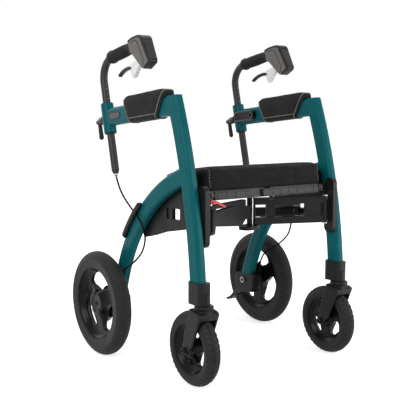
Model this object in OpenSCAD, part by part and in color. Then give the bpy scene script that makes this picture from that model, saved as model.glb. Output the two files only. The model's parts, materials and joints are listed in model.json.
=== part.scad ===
// Folding four-wheel rollator that turns into a transport chair.
// Millimetres. X runs across, the front faces -Y, Z is up from the floor.
// One side is drawn at +X and mirrored for the other.

/* [Overall] */
// width over the rear tyres
overall_w = 640; // [620:1:670]
// length over the tyres
overall_l = 616; // [600:1:650]
// room between a rear tyre and the side frame's leg
tyre_play = 21; // [20:0.5:22]

/* [Rear wheels] */
// rear tyre diameter
rear_d = 296; // [280:1:310]
// rear tyre width
rear_tyre_w = 46; // [40:1:48]
// height of the tyre's section above the rim
rear_tyre_h = 29; // [26:1:33]
// rim barrel width
rear_rim_w = 38; // [34:1:40]
// rim barrel thickness
rear_rim_t = 11; // [8:1:14]
// rear axle diameter
axle_d = 12; // [10:0.5:14]
// rear hub diameter
rear_hub_d = 46; // [40:1:54]
// brake drum diameter
drum_d = 92; // [80:1:110]
// brake drum depth
drum_w = 17; // [14:0.5:18]

/* [Casters] */
// front tyre diameter
front_d = 192; // [180:1:200]
// front tyre width
front_tyre_w = 40; // [34:1:42]
// height of the front tyre's section
front_tyre_h = 25; // [22:1:28]
// front rim barrel width
front_rim_w = 32; // [28:1:34]
// front axle diameter
front_axle_d = 10; // [8:0.5:12]
// front hub diameter
front_hub_d = 30; // [26:1:36]
// how far the caster's middle plane stands inside the side frame's
caster_in = 4; // [2:0.5:7]
// how far the axle trails behind the swivel
trail = 41; // [34:1:46]
// fork blade thickness
blade_t = 7; // [5:0.5:9]
// play between the tyre and each fork blade
fork_play = 4; // [3:0.5:6]
// swivel stem diameter
stem_d = 18; // [14:1:20]
// swivel stem length in the socket
stem_l = 23; // [18:1:25]

/* [Side frame] */
// leg section, along the walking direction
leg_w = 45; // [40:1:48]
// leg section, across
leg_t = 26; // [24:1:30]
// corner radius of the leg section
leg_r = 9; // [6:0.5:11]
// bend radius of the front leg
front_leg_bend = 1650; // [1500:10:1900]
// bend radius of the rear leg
rear_leg_bend = 480; // [470:1:490]
// arm beam height
arm_h = 50; // [46:1:54]
// slope of the arm, falling to the back
arm_fall = 5.2; // [4:0.1:6.5]
// bottom of the caster socket, above the front axle
socket_lift = 119; // [117:0.5:121]
// height of the caster socket
socket_h = 55; // [50:1:64]
// floor of the caster socket, under the leg's foot
socket_floor = 27; // [25:1:30]
// wall of the caster socket
socket_wall = 6; // [4:0.5:8]

/* [Handles] */
// handle tube diameter
tube_d = 22; // [20:0.5:24]
// handle tube wall
tube_wall = 2; // [1.5:0.1:2.5]
// how far the handle tube leans back
handle_lean = 13.1; // [10:0.1:16]
// clamp sleeve diameter
sleeve_d = 36; // [32:1:40]
// clamp sleeve length
sleeve_l = 83; // [76:1:90]
// tube below the clamp sleeve
tube_below = 109; // [100:1:120]
// tube above the clamp, to the corner of the bend
tube_above = 122; // [116:1:135]
// handle bend radius
handle_bend = 56; // [48:1:60]
// grip angle to the tube
handle_turn = 93.1; // [90:0.1:96]
// grip diameter
grip_d = 34; // [30:1:37]
// grip length
grip_l = 120; // [110:1:124]
// brake housing width at the top
housing_w = 36; // [32:1:42]
// brake lever width
lever_w = 13; // [10:0.5:15]
// lever pivot pin diameter
lever_pin_d = 6; // [5:0.5:7]
// clamp stud diameter
stud_d = 8; // [6:0.5:10]

/* [Fold linkage] */
// how far the hinge axes stand inside the side frame's middle plane
hinge_in = 40; // [39:0.5:43]
// how far the front hinge axis stands behind the casters' swivels
hinge_back = 24; // [21:1:27]
// distance between the front and the rear hinge axes
hinge_pitch = 112; // [108:1:116]
// how far the knee sits behind its hinges
knee_back = 81; // [76:1:86]
// thickness of an arm
arm_t = 14; // [10:0.5:15]
// underside of the front arms
link_z = 382.5; // [380:0.5:385]
// height of the front arms
link_h = 73; // [70:1:76]
// height of the upper and lower bar of the front right arm
bar_h = 19; // [17:0.5:21]
// underside of the rear arms
rear_link_z = 390; // [388:0.5:393]
// height of the rear arms
rear_link_h = 26; // [24:0.5:30]
// hinge pin diameter
hinge_pin_d = 8; // [6:0.5:10]
// hinge barrel diameter
barrel_d = 18; // [16:0.5:19]
// knee pin diameter
knee_pin_d = 14; // [12:0.5:15]

/* [Seat] */
// how far the cushion's side stands inside the side frame's middle plane
seat_side = 37; // [35:0.5:40]
// seat depth
seat_depth = 203; // [196:1:208]
// how far the seat falls to the back
seat_fall = 7.5; // [6:0.1:8]
// how far the seat's pivot stands inside the side frame's middle plane
seat_pivot_in = 50; // [48:0.5:52]
// height of the seat pivot at the front
seat_pivot_z = 479; // [478:0.5:482]
// seat pivot pin diameter
seat_pin_d = 8; // [6:0.5:9]
// cushion thickness at the edge
cushion_h = 55; // [48:1:58]
// crown of the cushion
cushion_crown = 6; // [3:0.5:9]
// crown of the arm pad
pad_crown = 19; // [14:0.5:22]

/* [Fits] */
// radial play of turning and sliding fits
run_play = 0.08; // [0.05:0.01:0.1]
// gap between seated pieces
seat_gap = 0.1; // [0.05:0.05:0.2]
// side play between moving faces
side_play = 0.4; // [0.3:0.05:0.6]

/* [Hidden] */
$fn = 64;
far = 2000;
eps = 0.01;
// how far a cut runs past a face
over = 1;

// wheel places
rear_x = overall_w / 2 - rear_tyre_w / 2;
rear_y = overall_l / 2 - rear_d / 2;
rear_z = rear_d / 2;
front_y = front_d / 2 - overall_l / 2;
front_z = front_d / 2;
swivel_y = front_y - trail;

// each side frame's middle plane, and the places tied to it
frame_x = rear_x - rear_tyre_w / 2 - tyre_play - leg_t / 2;
caster_x = frame_x - caster_in;
hinge_x = frame_x - hinge_in;
seat_pivot_x = frame_x - seat_pivot_in;
seat_w = 2 * (frame_x - seat_side);
front_hinge_y = swivel_y + hinge_back;
rear_hinge_y = front_hinge_y + hinge_pitch;
socket_z = front_z + socket_lift;
leg_foot_z = socket_z + socket_floor;
socket_top_z = socket_z + socket_h;

// wheel forms: spoke turn, window place and size as shares of the inner radius, the spokes' dished groove
spoke_turn = 60;
window_at = 0.99;
window_r = 0.68;
window_lip = 3;
spoke_lap = 2;
dish_at = 0.62;
dish_lift = 1.55;
dish_r = 1.3;
rim_dish_at = 0.9;
rim_dish_r = 0.95;
rear_spoke_t = 26;
hub_in = 2;
hub_out = 6;
hub_cap = 4;
front_rim_t = 9;
front_spoke_t = 22;
bead_in = 2;

// front leg arc: centre, and the angles of its foot and top
leg_back = 15;
front_cy = swivel_y + leg_back + front_leg_bend;
front_cz = front_z + 50;
front_a0 = asin((leg_foot_z - front_cz) / front_leg_bend);
front_a1 = 21.5;

// rear leg arc: centre, the angle where it turns straight, and the straight end
rear_reach = 483;
rear_drop = 79;
rear_cy = rear_y - rear_reach;
rear_cz = rear_z - rear_drop;
rear_b0 = 12;
rear_b1 = 70;
rear_straight = 79;
// the straight end is drawn a hair slimmer than the bend and starts a little inside it
tail_step = 0.15;
tail_lap = 4;
rear_joint_y = rear_cy + rear_leg_bend * sin(rear_b1);
rear_joint_z = rear_cz + rear_leg_bend * cos(rear_b1);

// caster socket: its body's place on the swivel's plane, and its corner radius
socket_dx = 2;
socket_back = 17;
socket_y = swivel_y + socket_back;
socket_long = leg_w + 2 * socket_wall + over;
socket_r = leg_r + 4;

// arm: middle of its front end, and its length to the clamp
arm_back = 135;
arm_y0 = swivel_y + arm_back;
arm_z0 = 700;
arm_root = 25;
arm_in = frame_x - leg_t / 2;

// brake cable's diameter
cable_d = 5;

// clamp sleeve: foot of its axis, behind the rear axle and below the arm's front end
sleeve_back = 30;
sleeve_drop = 72;
sleeve_y = rear_y + sleeve_back;
sleeve_z = arm_z0 - sleeve_drop;
arm_len = (sleeve_y - arm_y0) / cos(arm_fall);
corner_l = sleeve_l + tube_above;
bend_cut = handle_bend * tan(handle_turn / 2);
// under the grip the tube is drawn down by this step
tube_step = 0.4;
tube_lap = 3;
tube_nose = grip_l + 20;
tube_plug = 12;
cap_l = 9;
cap_taper = 7;
ferrule_l = 16;
ferrule_d = cable_d + 2.5;
grip_bulge = 60;
grip_ring = 6;
grip_ring_at = 8;
grip_bore = tube_d - tube_step + 2 * seat_gap;
clamp_at = 44;
boss_d = 20;
boss_end = 46;
stud_l = 18;
knob_d = 18;
knob_l = 18;
lever_d = 14;
lever_l = 46;

// brake housing and lever, in the grip's frame: along the grip, above its axis
housing_side = [[179, -14], [179, 15], [200, 18], [236, 16], [246, 7], [268, -55], [262, -63], [238, -72],
    [226, -67], [191, -24]];
housing_foot_w = 24;
housing_foot_u = -72;
housing_top_u = 18;
pivot_f = 218;
pivot_u = -44;
lever_pin_l = 18;
slot_f0 = 150;
slot_f1 = 228;
slot_u0 = -100;
slot_u1 = -33;
lever_body = [[214, -36], [168, -43], [158, -50], [166, -76], [187, -82], [212, -60], [222, -52]];
blade_cf = 140;
blade_cu = -150;
blade_r = 105;
blade_h = 10;
blade_f0 = 90;
blade_f1 = 172;
lever_eye = 16;
collar_l = 20;
collar_bore = grip_d + 6;

// hinge brackets inside the front legs
bracket_in = arm_in - 14;
bracket_z0 = 352;
bracket_z1 = 505;
bracket_y = front_hinge_y - 1;
bracket_w = 34;
ear_h = 7.5;
ear_play = 0.5;
pin_slot = 5;
pin_head_d = hinge_pin_d + 6;
pin_head_h = 3;

// arms of the fold linkage
arm_l = sqrt(hinge_x * hinge_x + knee_back * knee_back);
arm_a = atan(knee_back / hinge_x);
knuckle_d = 24;
knee_clear = 42;
knee_slot = 9;
root_l = 14;
web_l = 62;
web_t = 8;
knee_post = 26;
rear_bar_h = 7;
rear_ear_h = 6;
// the left front arm's plate, along the arm and above its underside: lower edge and three-cornered window
tongue_low = [[18, 19], [150, 4]];
tongue_windows = [[[18, 55], [18, 63], [122, 63]]];
foot_d = 44;
foot_h = 10;
foot_l = 24;

// gusset panel under the rear leg
gusset_in = arm_in - 10;
// windows: start and width, along the walking direction from the rear hinge
gusset_windows = [[-20, 34], [31, 10]];
gusset_window_z = 410;
gusset_window_h = 29;
// outline: behind the front hinge, height
gusset_side = [[264, 346], [210, 358], [164, 372], [66, 390], [23, 396], [15, 440], [49, 520], [229, 480],
    [289, 400]];

// seat frame: pivot line and heights above it
seat_back = 11;
seat_y = front_hinge_y + seat_back;
board_top = 11;
board_low = 2;
bar_low = -13;
bar_top = 8;
bar_y0 = -4;
bar_y1 = 3.6;
bar_t = 6.4;
bar_play = 0.4;
bar_in = 12;
bar_in_right = 63;
board_gap = 11;
lip_in = 20;
lip_clear = 62;
ear_r = 9;
ear_y0 = -4;
ear_y1 = 4;
back_ear_y0 = 150;
back_ear_y1 = 158;
cushion_y0 = -6;
seat_pin_l = 22;
rib_n = 6;
rib_gap = 24;
rib_t = 4;
rib_h = 6;
back_in = 16;
loop_r = 5.5;
loop_wire = 1.6;
loop_x = 8;

// caster fork from the side, from the axle's upright: crown at the top, eye at the axle
fork_side = [[-20, 111], [-15, 87], [-2, 58], [9, 16], [13, 0], [-13, 0], [-31, 14], [-49, 56], [-62, 88],
    [-66, 97], [-58, 103]];
fork_eye = 26;
crown_z = front_z + 76;
neck_z = front_z + 84;
neck_d = 42;
cap_z = front_z + 110;
cap_d = 49;
head_d = front_axle_d + 5;
head_l = 4;

// axle bracket and kerb pedal
bracket_side = [[-48, 22], [-46, -18], [-36, -36], [26, -44], [40, -28], [44, 2], [36, 20]];
bracket_out = frame_x + 17;
axle_in = frame_x - 14;
axle_head_d = axle_d + 6;
axle_head_l = 6;
axle_out = 12;
drum_step = 4;
drum_arm_t = 12;
drum_arm = [[-44, 50], [-22, 54], [20, 10], [-30, -10]];
stop_d = 10;
stop_l = 18;
pedal_side = [[16, -31], [36, -37], [54, -50], [76, -70], [94, -77], [92, -84], [74, -80], [46, -58],
    [20, -46]];
pedal_x0 = frame_x - 12;
pedal_x1 = frame_x + 14;

// release lever at the left hinge bracket
release_x = frame_x - 35;
release_z = 466;
// outline from the pivot: towards the side frame, height
release_side = [[4, 5], [-3, 5], [-14, 2], [-36, -9], [-41, -13], [-40, -16], [-35, -15], [-14, -5], [-3, -5],
    [4, -5]];
release_y0 = front_hinge_y - 19;
release_y1 = front_hinge_y - 8;
release_pin_d = 5;
release_eye = 11;
release_block_low = 6;
release_block_y = 8;
release_block_z = 13;

// accessory socket on the arm
access_l = 96;
access_h = 32;
access_t = 11;
access_at = 318;
access_bore = 10;
access_depth = 8;

// brake cable: its route from the tube's foot, given outside the frame, behind and above the axle
cable_sides = 8;
cable_steps = 5;
cable_gap = 1;
cable_start = tube_below + ferrule_l + cable_gap;
cable_way = [[0.5, -3, 350], [2, -21, 325], [6, -52, 302], [13, -97, 280], [20, -141, 262], [21.5, -169, 241],
    [21.5, -183, 215], [22, -183, 193], [23, -171, 168], [24, -148, 146], [25, -120, 127], [26, -88, 109],
    [26, -57, 90], [26, -36, 58]];
cable_route = concat(
    [[frame_x, sleeve_y - cable_start * sin(handle_lean), sleeve_z - cable_start * cos(handle_lean)]],
    [for (p = cable_way) [frame_x + p[0], rear_y + p[1], rear_z + p[2]]]
);
channel_d = 2 * cable_d;
channel_at = 4;
channel_back = 0.5;
channel_reach = 2.1;

// cable clip on the rear leg
clip_dx = 12;
clip_t = 26;
clip_w = 26;
clip_r = 6;
clip_in = 8;
clip_a0 = 33;
clip_a1 = 49;

side_nodes = ["front_leg", "rear_leg", "arm", "arm_pad", "caster_socket", "axle_bracket", "gusset_panel",
    "hinge_bracket", "cable_clip", "accessory_socket", "steel_pins", "brake_drum", "brake_cable",
    "handle_tube", "grip", "brake_housing", "brake_lever", "clamp_lever",
    "rear_tyre", "rear_rim", "caster_fork", "front_axle", "front_tyre", "front_rim",
    "seat_board", "seat_cushion"];
middle_nodes = ["front_left_arm", "front_right_arm", "rear_left_arm", "rear_right_arm", "front_knee_pin",
    "knee_foot", "rear_knee_pin", "release_lever"];
sides = ["left", "right"];

// helpers

module rrect(w, h, r) {
    square([w, h - 2 * r], center = true);
    square([w - 2 * r, h], center = true);
    for (i = [-1, 1], j = [-1, 1])
        translate([i * (w / 2 - r), j * (h / 2 - r)])
            circle(r);
}

// draws a flat shape given as (y, z) from x0 to x1
module across(x0, x1) {
    translate([x0, 0, 0])
        rotate([90, 0, 90])
            linear_extrude(x1 - x0)
                children();
}

// bends a section about the line along X at (cy, cz), from angle a0 to a1
module bend(cy, cz, radius, a0, a1) {
    translate([0, cy, cz])
        rotate([90, 0, 90])
            rotate([0, 0, a0])
                rotate_extrude(angle = a1 - a0, $fn = 180)
                    translate([radius, 0])
                        children();
}

// turns a section round the wheel's axle, which lies along X
module turned() {
    rotate([0, 90, 0])
        rotate_extrude($fn = 120)
            children();
}

// a round bar along X
module x_bar(d, x0, x1) {
    translate([x0, 0, 0])
        rotate([0, 90, 0])
            cylinder(d = d, h = x1 - x0);
}

module on_side(s) {
    if (s == "left")
        mirror([1, 0, 0]) children();
    else
        children();
}

module at_rear_wheel() {
    translate([rear_x, rear_y, rear_z])
        children();
}

module at_front_wheel() {
    translate([caster_x, front_y, front_z])
        children();
}

// Z along the handle tube from the foot of the clamp sleeve, Y to the back
module in_handle() {
    translate([frame_x, sleeve_y, sleeve_z])
        rotate([-handle_lean, 0, 0])
            children();
}

// Z along the grip from the corner of the bend, Y upwards
module in_grip() {
    in_handle()
        translate([0, 0, corner_l])
            rotate([handle_turn, 0, 0])
                children();
}

// draws a flat shape given as (along the grip, above its axis) with the width w
module grip_side(w) {
    in_grip()
        rotate([90, 0, 90])
            mirror([1, -1, 0])
                translate([0, 0, -w / 2])
                    linear_extrude(w)
                        children();
}

// Y along the arm from its front end to the back, Z square to it
module in_arm() {
    translate([frame_x, arm_y0, arm_z0])
        rotate([-arm_fall, 0, 0])
            children();
}

// the seat's pivot line at the front, leaning back with the seat
module in_seat() {
    translate([0, seat_y, seat_pivot_z])
        rotate([-seat_fall, 0, 0])
            children();
}

// side frame

module front_leg_form(grow = 0) {
    difference() {
        translate([frame_x, 0, 0])
            bend(front_cy, front_cz, front_leg_bend, 180 - front_a1, 180 - front_a0)
                rrect(leg_w + 2 * grow, leg_t + 2 * grow, leg_r + grow);
        in_arm()
            translate([-far / 2, -far / 2, arm_h / 2 + grow])
                cube([far, far, far / 4]);
    }
}

module front_leg() {
    color("#0f5c63")
        front_leg_form();
}

module rear_leg_form(grow = 0) {
    translate([frame_x, 0, 0]) {
        bend(rear_cy, rear_cz, rear_leg_bend, 90 - rear_b1, 90 - rear_b0)
            rrect(leg_w + 2 * grow, leg_t + 2 * grow, leg_r + grow);
        translate([0, rear_joint_y, rear_joint_z])
            rotate([270 - rear_b1, 0, 0])
                translate([0, 0, -tail_lap])
                    linear_extrude(rear_straight + tail_lap)
                        rrect(leg_t + 2 * (grow - tail_step), leg_w + 2 * (grow - tail_step),
                            leg_r + grow - tail_step);
    }
}

module rear_leg() {
    color("#0f5c63")
        difference() {
            rear_leg_form();
            front_leg_form(seat_gap);
            translate([frame_x, 0, 0])
                bend(front_cy, front_cz, front_leg_bend + far / 8, 180 - front_a1, 180 - front_a0)
                    square([far / 4, 2 * leg_t], center = true);
        }
}

module arm_beam(grow = 0) {
    in_arm()
        translate([0, -arm_root, 0])
            rotate([-90, 0, 0])
                linear_extrude(arm_len + arm_root)
                    rrect(leg_t + 2 * grow, arm_h + 2 * grow, leg_r + grow);
}

module arm() {
    color("#0f5c63")
        difference() {
            union() {
                arm_beam();
                in_handle() {
                    cylinder(d = sleeve_d, h = sleeve_l);
                    translate([0, 0, clamp_at])
                        rotate([-90, 0, 0])
                            cylinder(d = boss_d, h = boss_end);
                }
            }
            front_leg_form(seat_gap);
            in_handle() {
                translate([0, 0, -far / 4])
                    cylinder(d = tube_d + 2 * run_play, h = far / 2);
                translate([0, boss_end - stud_l - side_play, clamp_at])
                    rotate([-90, 0, 0])
                        cylinder(d = stud_d + 2 * run_play, h = stud_l + 2 * over);
            }
        }
}

// one ring of the arm pad, t along the arm: its outside drawn in by the share k, or the hollow for the arm
pad_n = 32;
pad_m = 11;
pad_wall = 9;
pad_slack = 0.6;
pad_skin = 1;
pad_lip = 2;
pad_under = 0.6;
pad_low = 1;
pad_flat = 0.4;
pad_soft = 0.45;
pad_soft_in = 0.4;
pad_hollow = leg_t / 2 + pad_slack;
function pad_out(t, k, lean) = [
    for (i = [0:pad_n - 1])
        let (a = i * 360 / pad_n, c = cos(a), s = sin(a))
        let (x = (pad_hollow + pad_skin + k * pad_wall) * sign(c) * pow(abs(c), pad_soft))
        let (full = pad_lip + k * pad_crown * (pad_flat + (1 - pad_flat) * abs(s)))
        let (up = arm_h / 2 + (s > 0 ? full : pad_slack + pad_under + k * pad_low))
        let (z = up * sign(s) * pow(abs(s), pad_soft))
        [x, t + lean * z, z]
];
function pad_in(t, lean) = [
    for (i = [0:pad_n - 1])
        let (a = i * 360 / pad_n, c = cos(a), s = sin(a))
        let (z = (arm_h / 2 + pad_slack) * sign(s) * pow(abs(s), pad_soft_in))
        [pad_hollow * sign(c) * pow(abs(c), pad_soft_in), t + lean * z, z]
];
pad_t = [24, 25, 31, 47, 75, 105, 135, 160, 181, 189, 190];
pad_k = [0.3, 0.6, 0.84, 0.95, 1, 1, 1, 1, 0.97, 0.76, 0.4];
pad_lean0 = -0.68;
pad_lean1 = 0.46;
pad_lean = [for (i = [0:pad_m - 1]) pad_lean0 + i * (pad_lean1 - pad_lean0) / (pad_m - 1)];
pad_points = concat(
    [for (i = [0:pad_m - 1]) each pad_out(pad_t[i], pad_k[i], pad_lean[i])],
    pad_in(pad_t[0], pad_lean[0]),
    pad_in(pad_t[pad_m - 1], pad_lean[pad_m - 1])
);
// two triangles between ring a and ring b
function strip(a, b, n) = [
    for (j = [0:n - 1]) each [[a + j, b + j, b + (j + 1) % n], [a + j, b + (j + 1) % n, a + (j + 1) % n]]
];
pad_faces = concat(
    [for (i = [0:pad_m - 2]) each strip(i * pad_n, (i + 1) * pad_n, pad_n)],
    strip((pad_m - 1) * pad_n, (pad_m + 1) * pad_n, pad_n),
    strip((pad_m + 1) * pad_n, pad_m * pad_n, pad_n),
    strip(pad_m * pad_n, 0, pad_n)
);

module arm_pad() {
    color("#1c1c1e")
        in_arm()
            polyhedron(pad_points, pad_faces, convexity = 6);
}

module caster_socket() {
    color("#232425")
        difference() {
            union() {
                translate([caster_x + socket_dx, socket_y, socket_z])
                    linear_extrude(socket_top_z - socket_z)
                        rrect(leg_t + 2 * socket_wall, socket_long, socket_r);
                translate([caster_x, swivel_y, socket_z])
                    cylinder(d = stem_d + 2 * socket_wall, h = stem_l + socket_wall);
            }
            front_leg_form(seat_gap);
            translate([caster_x, swivel_y, socket_z - over])
                cylinder(d = stem_d + 2 * run_play, h = stem_l + over + side_play);
        }
}

module axle_bracket() {
    color("#232425")
        difference() {
            union() {
                translate([0, rear_y, rear_z]) {
                    across(axle_in, bracket_out)
                        polygon(bracket_side);
                    across(pedal_x0, pedal_x1)
                        polygon(pedal_side);
                }
            }
            rear_leg_form(seat_gap);
            translate([0, rear_y, rear_z])
                x_bar(axle_d + 2 * seat_gap, axle_in - over, bracket_out + over);
        }
}

// slot of width w that lays a round pin open to the front, as seen at rest
module front_slot(w, z0, z1) {
    translate([-w / 2, -far / 2, z0])
        cube([w, far / 2, z1 - z0]);
}

// barrel on the side frame between the two ears of an arm of height h over z0
module barrel_holder(y, z0, h, ear, wall_x) {
    low = z0 + ear + ear_play;
    high = z0 + h - ear - ear_play;
    translate([hinge_x, y, 0])
        difference() {
            union() {
                translate([0, 0, low])
                    cylinder(d = barrel_d, h = high - low);
                translate([0, -barrel_d / 3, low])
                    cube([wall_x - hinge_x + eps, barrel_d / 1.5, high - low]);
            }
            translate([0, 0, low - over])
                cylinder(d = hinge_pin_d + 2 * seat_gap, h = high - low + 2 * over);
            front_slot(pin_slot, low - over, high + over);
        }
}

// ear that carries one end of the seat's pivot
module seat_ear(y0, y1, wall_x) {
    in_seat()
        difference() {
            translate([0, y1, 0])
                rotate([90, 0, 0])
                    linear_extrude(y1 - y0) {
                        translate([seat_pivot_x, 0])
                            circle(ear_r);
                        polygon([[seat_pivot_x, ear_r], [wall_x, ear_r - over], [wall_x, -2 * ear_r],
                            [seat_pivot_x, -ear_r]]);
                    }
            translate([seat_pivot_x, y1 + over, 0])
                rotate([90, 0, 0])
                    cylinder(d = seat_pin_d + 2 * seat_gap, h = y1 - y0 + 2 * over);
        }
}

module hinge_bracket(with_release = false) {
    color("#2d2e30") {
        translate([bracket_in, 0, 0])
            rotate([90, 0, 90])
                linear_extrude(arm_in - bracket_in - seat_gap)
                    translate([bracket_y, (bracket_z0 + bracket_z1) / 2])
                        rrect(bracket_w, bracket_z1 - bracket_z0, bracket_w / 2 - over);
        barrel_holder(front_hinge_y, link_z, link_h, ear_h, bracket_in);
        seat_ear(ear_y0, ear_y1, bracket_in + over);
        if (with_release) {
            translate([release_x - release_eye / 2, release_y1 + side_play, release_z - release_block_low])
                cube([bracket_in - release_x + release_eye / 2 + over, release_block_y, release_block_z]);
            translate([release_x, release_y1 + release_block_y / 2, release_z])
                rotate([90, 0, 0])
                    cylinder(d = release_pin_d, h = release_y1 - release_y0 + release_block_y / 2 - over);
        }
    }
}

module gusset_panel() {
    color("#1f2021") {
        difference() {
            across(gusset_in, arm_in - seat_gap)
                difference() {
                    intersection() {
                        translate([front_hinge_y, 0])
                            polygon(gusset_side);
                        translate([rear_cy, rear_cz])
                            circle(rear_leg_bend, $fn = 180);
                    }
                    for (w = gusset_windows)
                        translate([rear_hinge_y + w[0], gusset_window_z])
                            square([w[1], gusset_window_h]);
                }
            translate([0, bracket_y - bracket_w, 0])
                cube([far, 1.5 * bracket_w + over, far / 2]);
        }
        barrel_holder(rear_hinge_y, rear_link_z, rear_link_h, rear_ear_h, gusset_in);
        seat_ear(back_ear_y0, back_ear_y1, gusset_in + over);
    }
}

// brake cable

function spline(p, i, t) =
    let (a = p[max(i - 1, 0)], b = p[i], c = p[i + 1], d = p[min(i + 2, len(p) - 1)])
    0.5 * (2 * b + t * (c - a) + t * t * (2 * a - 5 * b + 4 * c - d) + t * t * t * (3 * b - a - 3 * c + d));
cable_line = [
    for (i = [0:len(cable_route) - 2], j = [0:cable_steps - 1]) spline(cable_route, i, j / cable_steps),
    cable_route[len(cable_route) - 1]
];
function unit(v) = v / norm(v);
function cable_ring(i, r) =
    let (n = len(cable_line), d = unit(cable_line[min(i + 1, n - 1)] - cable_line[max(i - 1, 0)]))
    let (u = unit(cross(d, [1, 0, 0])), v = cross(d, u))
    [for (j = [0:cable_sides - 1])
        cable_line[i] + r * (cos(j * 360 / cable_sides) * u + sin(j * 360 / cable_sides) * v)];

module cable_form(d) {
    n = len(cable_line);
    m = cable_sides;
    polyhedron(
        [for (i = [0:n - 1]) each cable_ring(i, d / 2)],
        concat(
            [[for (j = [m - 1:-1:0]) j]],
            [for (i = [0:n - 2], j = [0:m - 1]) [i * m + j, i * m + (j + 1) % m, i * m + m + (j + 1) % m]],
            [for (i = [0:n - 2], j = [0:m - 1]) [i * m + j, i * m + m + (j + 1) % m, i * m + m + j]],
            [[for (j = [0:m - 1]) (n - 1) * m + j]]
        ),
        convexity = 8
    );
}

module brake_cable() {
    color("#111111")
        cable_form(cable_d);
}

// straight channel that clears the cable where it passes under the clip
module cable_channel() {
    from = cable_route[channel_at];
    way = cable_route[channel_at + 1] - from;
    translate(from - channel_back * way)
        rotate([0, acos(way[2] / norm(way)), atan2(way[1], way[0])])
            cylinder(d = channel_d, h = channel_reach * norm(way));
}

module cable_clip() {
    color("#0d0d0e")
        difference() {
            translate([frame_x + clip_dx, 0, 0])
                bend(rear_cy, rear_cz, rear_leg_bend + leg_w / 2 - clip_in, clip_a0, clip_a1)
                    rrect(clip_t, clip_w, clip_r);
            rear_leg_form(seat_gap);
            cable_channel();
        }
}

module accessory_socket() {
    color("#161617")
        difference() {
            in_arm()
                translate([-leg_t / 2 - access_t, access_at - access_l / 2, 0])
                    rotate([90, 0, 90])
                        linear_extrude(access_t - seat_gap)
                            rrect(access_l, access_h, access_h / 2 - over);
            in_arm()
                translate([-leg_t / 2 - access_t - over, access_at - access_l + access_h / 2, 0])
                    x_bar(access_bore, 0, access_depth + over);
            in_handle()
                cylinder(d = sleeve_d + 2 * seat_gap, h = sleeve_l);
        }
}

// hinge pin with a head at each end
module hinge_pin(y, z0, z1) {
    for (z = [z0 - pin_head_h, z1])
        translate([hinge_x, y, z])
            cylinder(d = pin_head_d, h = pin_head_h);
    translate([hinge_x, y, z0 - pin_head_h])
        cylinder(d = hinge_pin_d, h = z1 - z0 + 2 * pin_head_h);
}

module seat_pin(y0, y1) {
    in_seat()
        translate([seat_pivot_x, y1, 0])
            rotate([90, 0, 0])
                cylinder(d = seat_pin_d, h = y1 - y0);
}

module steel_pins() {
    color("#b9bcc0") {
        hinge_pin(front_hinge_y, link_z - side_play, link_z + link_h + side_play);
        hinge_pin(rear_hinge_y, rear_link_z - side_play, rear_link_z + rear_link_h + side_play);
        seat_pin(ear_y0, ear_y1 + seat_pin_l);
        seat_pin(back_ear_y0 - seat_pin_l, back_ear_y1);
        translate([0, rear_y, rear_z]) {
            x_bar(axle_d, axle_in - axle_head_l, rear_x + axle_out);
            x_bar(axle_head_d, axle_in - axle_head_l, axle_in - seat_gap);
        }
    }
}

// wheels

// three-spoke pattern as a flat shape
module spokes(inner_r) {
    difference() {
        circle(inner_r + spoke_lap);
        for (i = [0:2])
            rotate([0, 0, 120 * i])
                intersection() {
                    circle(inner_r - window_lip);
                    translate([window_at * inner_r, 0])
                        circle(window_r * inner_r);
                }
    }
}

module rim(seat_r, width, thick, hub_d, hub_x0, hub_x1, bore, cap, spoke_t) {
    inner_r = seat_r - thick;
    difference() {
        union() {
            turned()
                difference() {
                    translate([inner_r, -width / 2])
                        square([thick, width]);
                    translate([seat_r + rim_dish_at * width, 0])
                        circle(rim_dish_r * width);
                }
            intersection() {
                rotate([0, 90, 0])
                    rotate([0, 0, spoke_turn])
                        translate([0, 0, -width])
                            linear_extrude(2 * width)
                                spokes(inner_r);
                turned()
                    difference() {
                        translate([0, -spoke_t / 2])
                            square([inner_r + spoke_lap, spoke_t]);
                        translate([dish_at * inner_r, dish_lift * spoke_t])
                            circle(dish_r * spoke_t);
                    }
            }
            x_bar(hub_d, hub_x0, hub_x1);
        }
        x_bar(bore, hub_x0 - over, hub_x1 - cap);
    }
}

module tyre_on_rim(outer_r, width, section_h, rim_w) {
    seat_r = outer_r - section_h;
    turned()
        difference() {
            union() {
                translate([outer_r - width / 2, 0])
                    circle(d = width);
                translate([seat_r - bead_in, bead_in - rim_w / 2])
                    square([section_h - bead_in, rim_w - 2 * bead_in]);
            }
            translate([0, -width])
                square([seat_r - bead_in - over, 2 * width]);
            translate([0, -rim_w / 2 - seat_gap])
                difference() {
                    square([seat_r + seat_gap, rim_w + 2 * seat_gap]);
                    translate([seat_r + rim_dish_at * rim_w, rim_w / 2 + seat_gap])
                        circle(rim_dish_r * rim_w - seat_gap);
                }
        }
}

module rear_tyre() {
    color("#2b2b2c")
        at_rear_wheel()
            tyre_on_rim(rear_d / 2, rear_tyre_w, rear_tyre_h, rear_rim_w);
}

module rear_rim() {
    color("#1a1a1c")
        at_rear_wheel()
            rim(rear_d / 2 - rear_tyre_h, rear_rim_w, rear_rim_t, rear_hub_d, hub_in - rear_tyre_w / 2,
                rear_tyre_w / 2 - hub_out, axle_d + 2 * run_play, hub_cap, rear_spoke_t);
}

module front_tyre() {
    color("#2b2b2c")
        at_front_wheel()
            tyre_on_rim(front_d / 2, front_tyre_w, front_tyre_h, front_rim_w);
}

module front_rim() {
    half = front_tyre_w / 2 + fork_play - side_play;
    color("#1a1a1c")
        at_front_wheel()
            rim(front_d / 2 - front_tyre_h, front_rim_w, front_rim_t, front_hub_d, -half, half,
                front_axle_d + 2 * run_play, -over, front_spoke_t);
}

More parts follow.
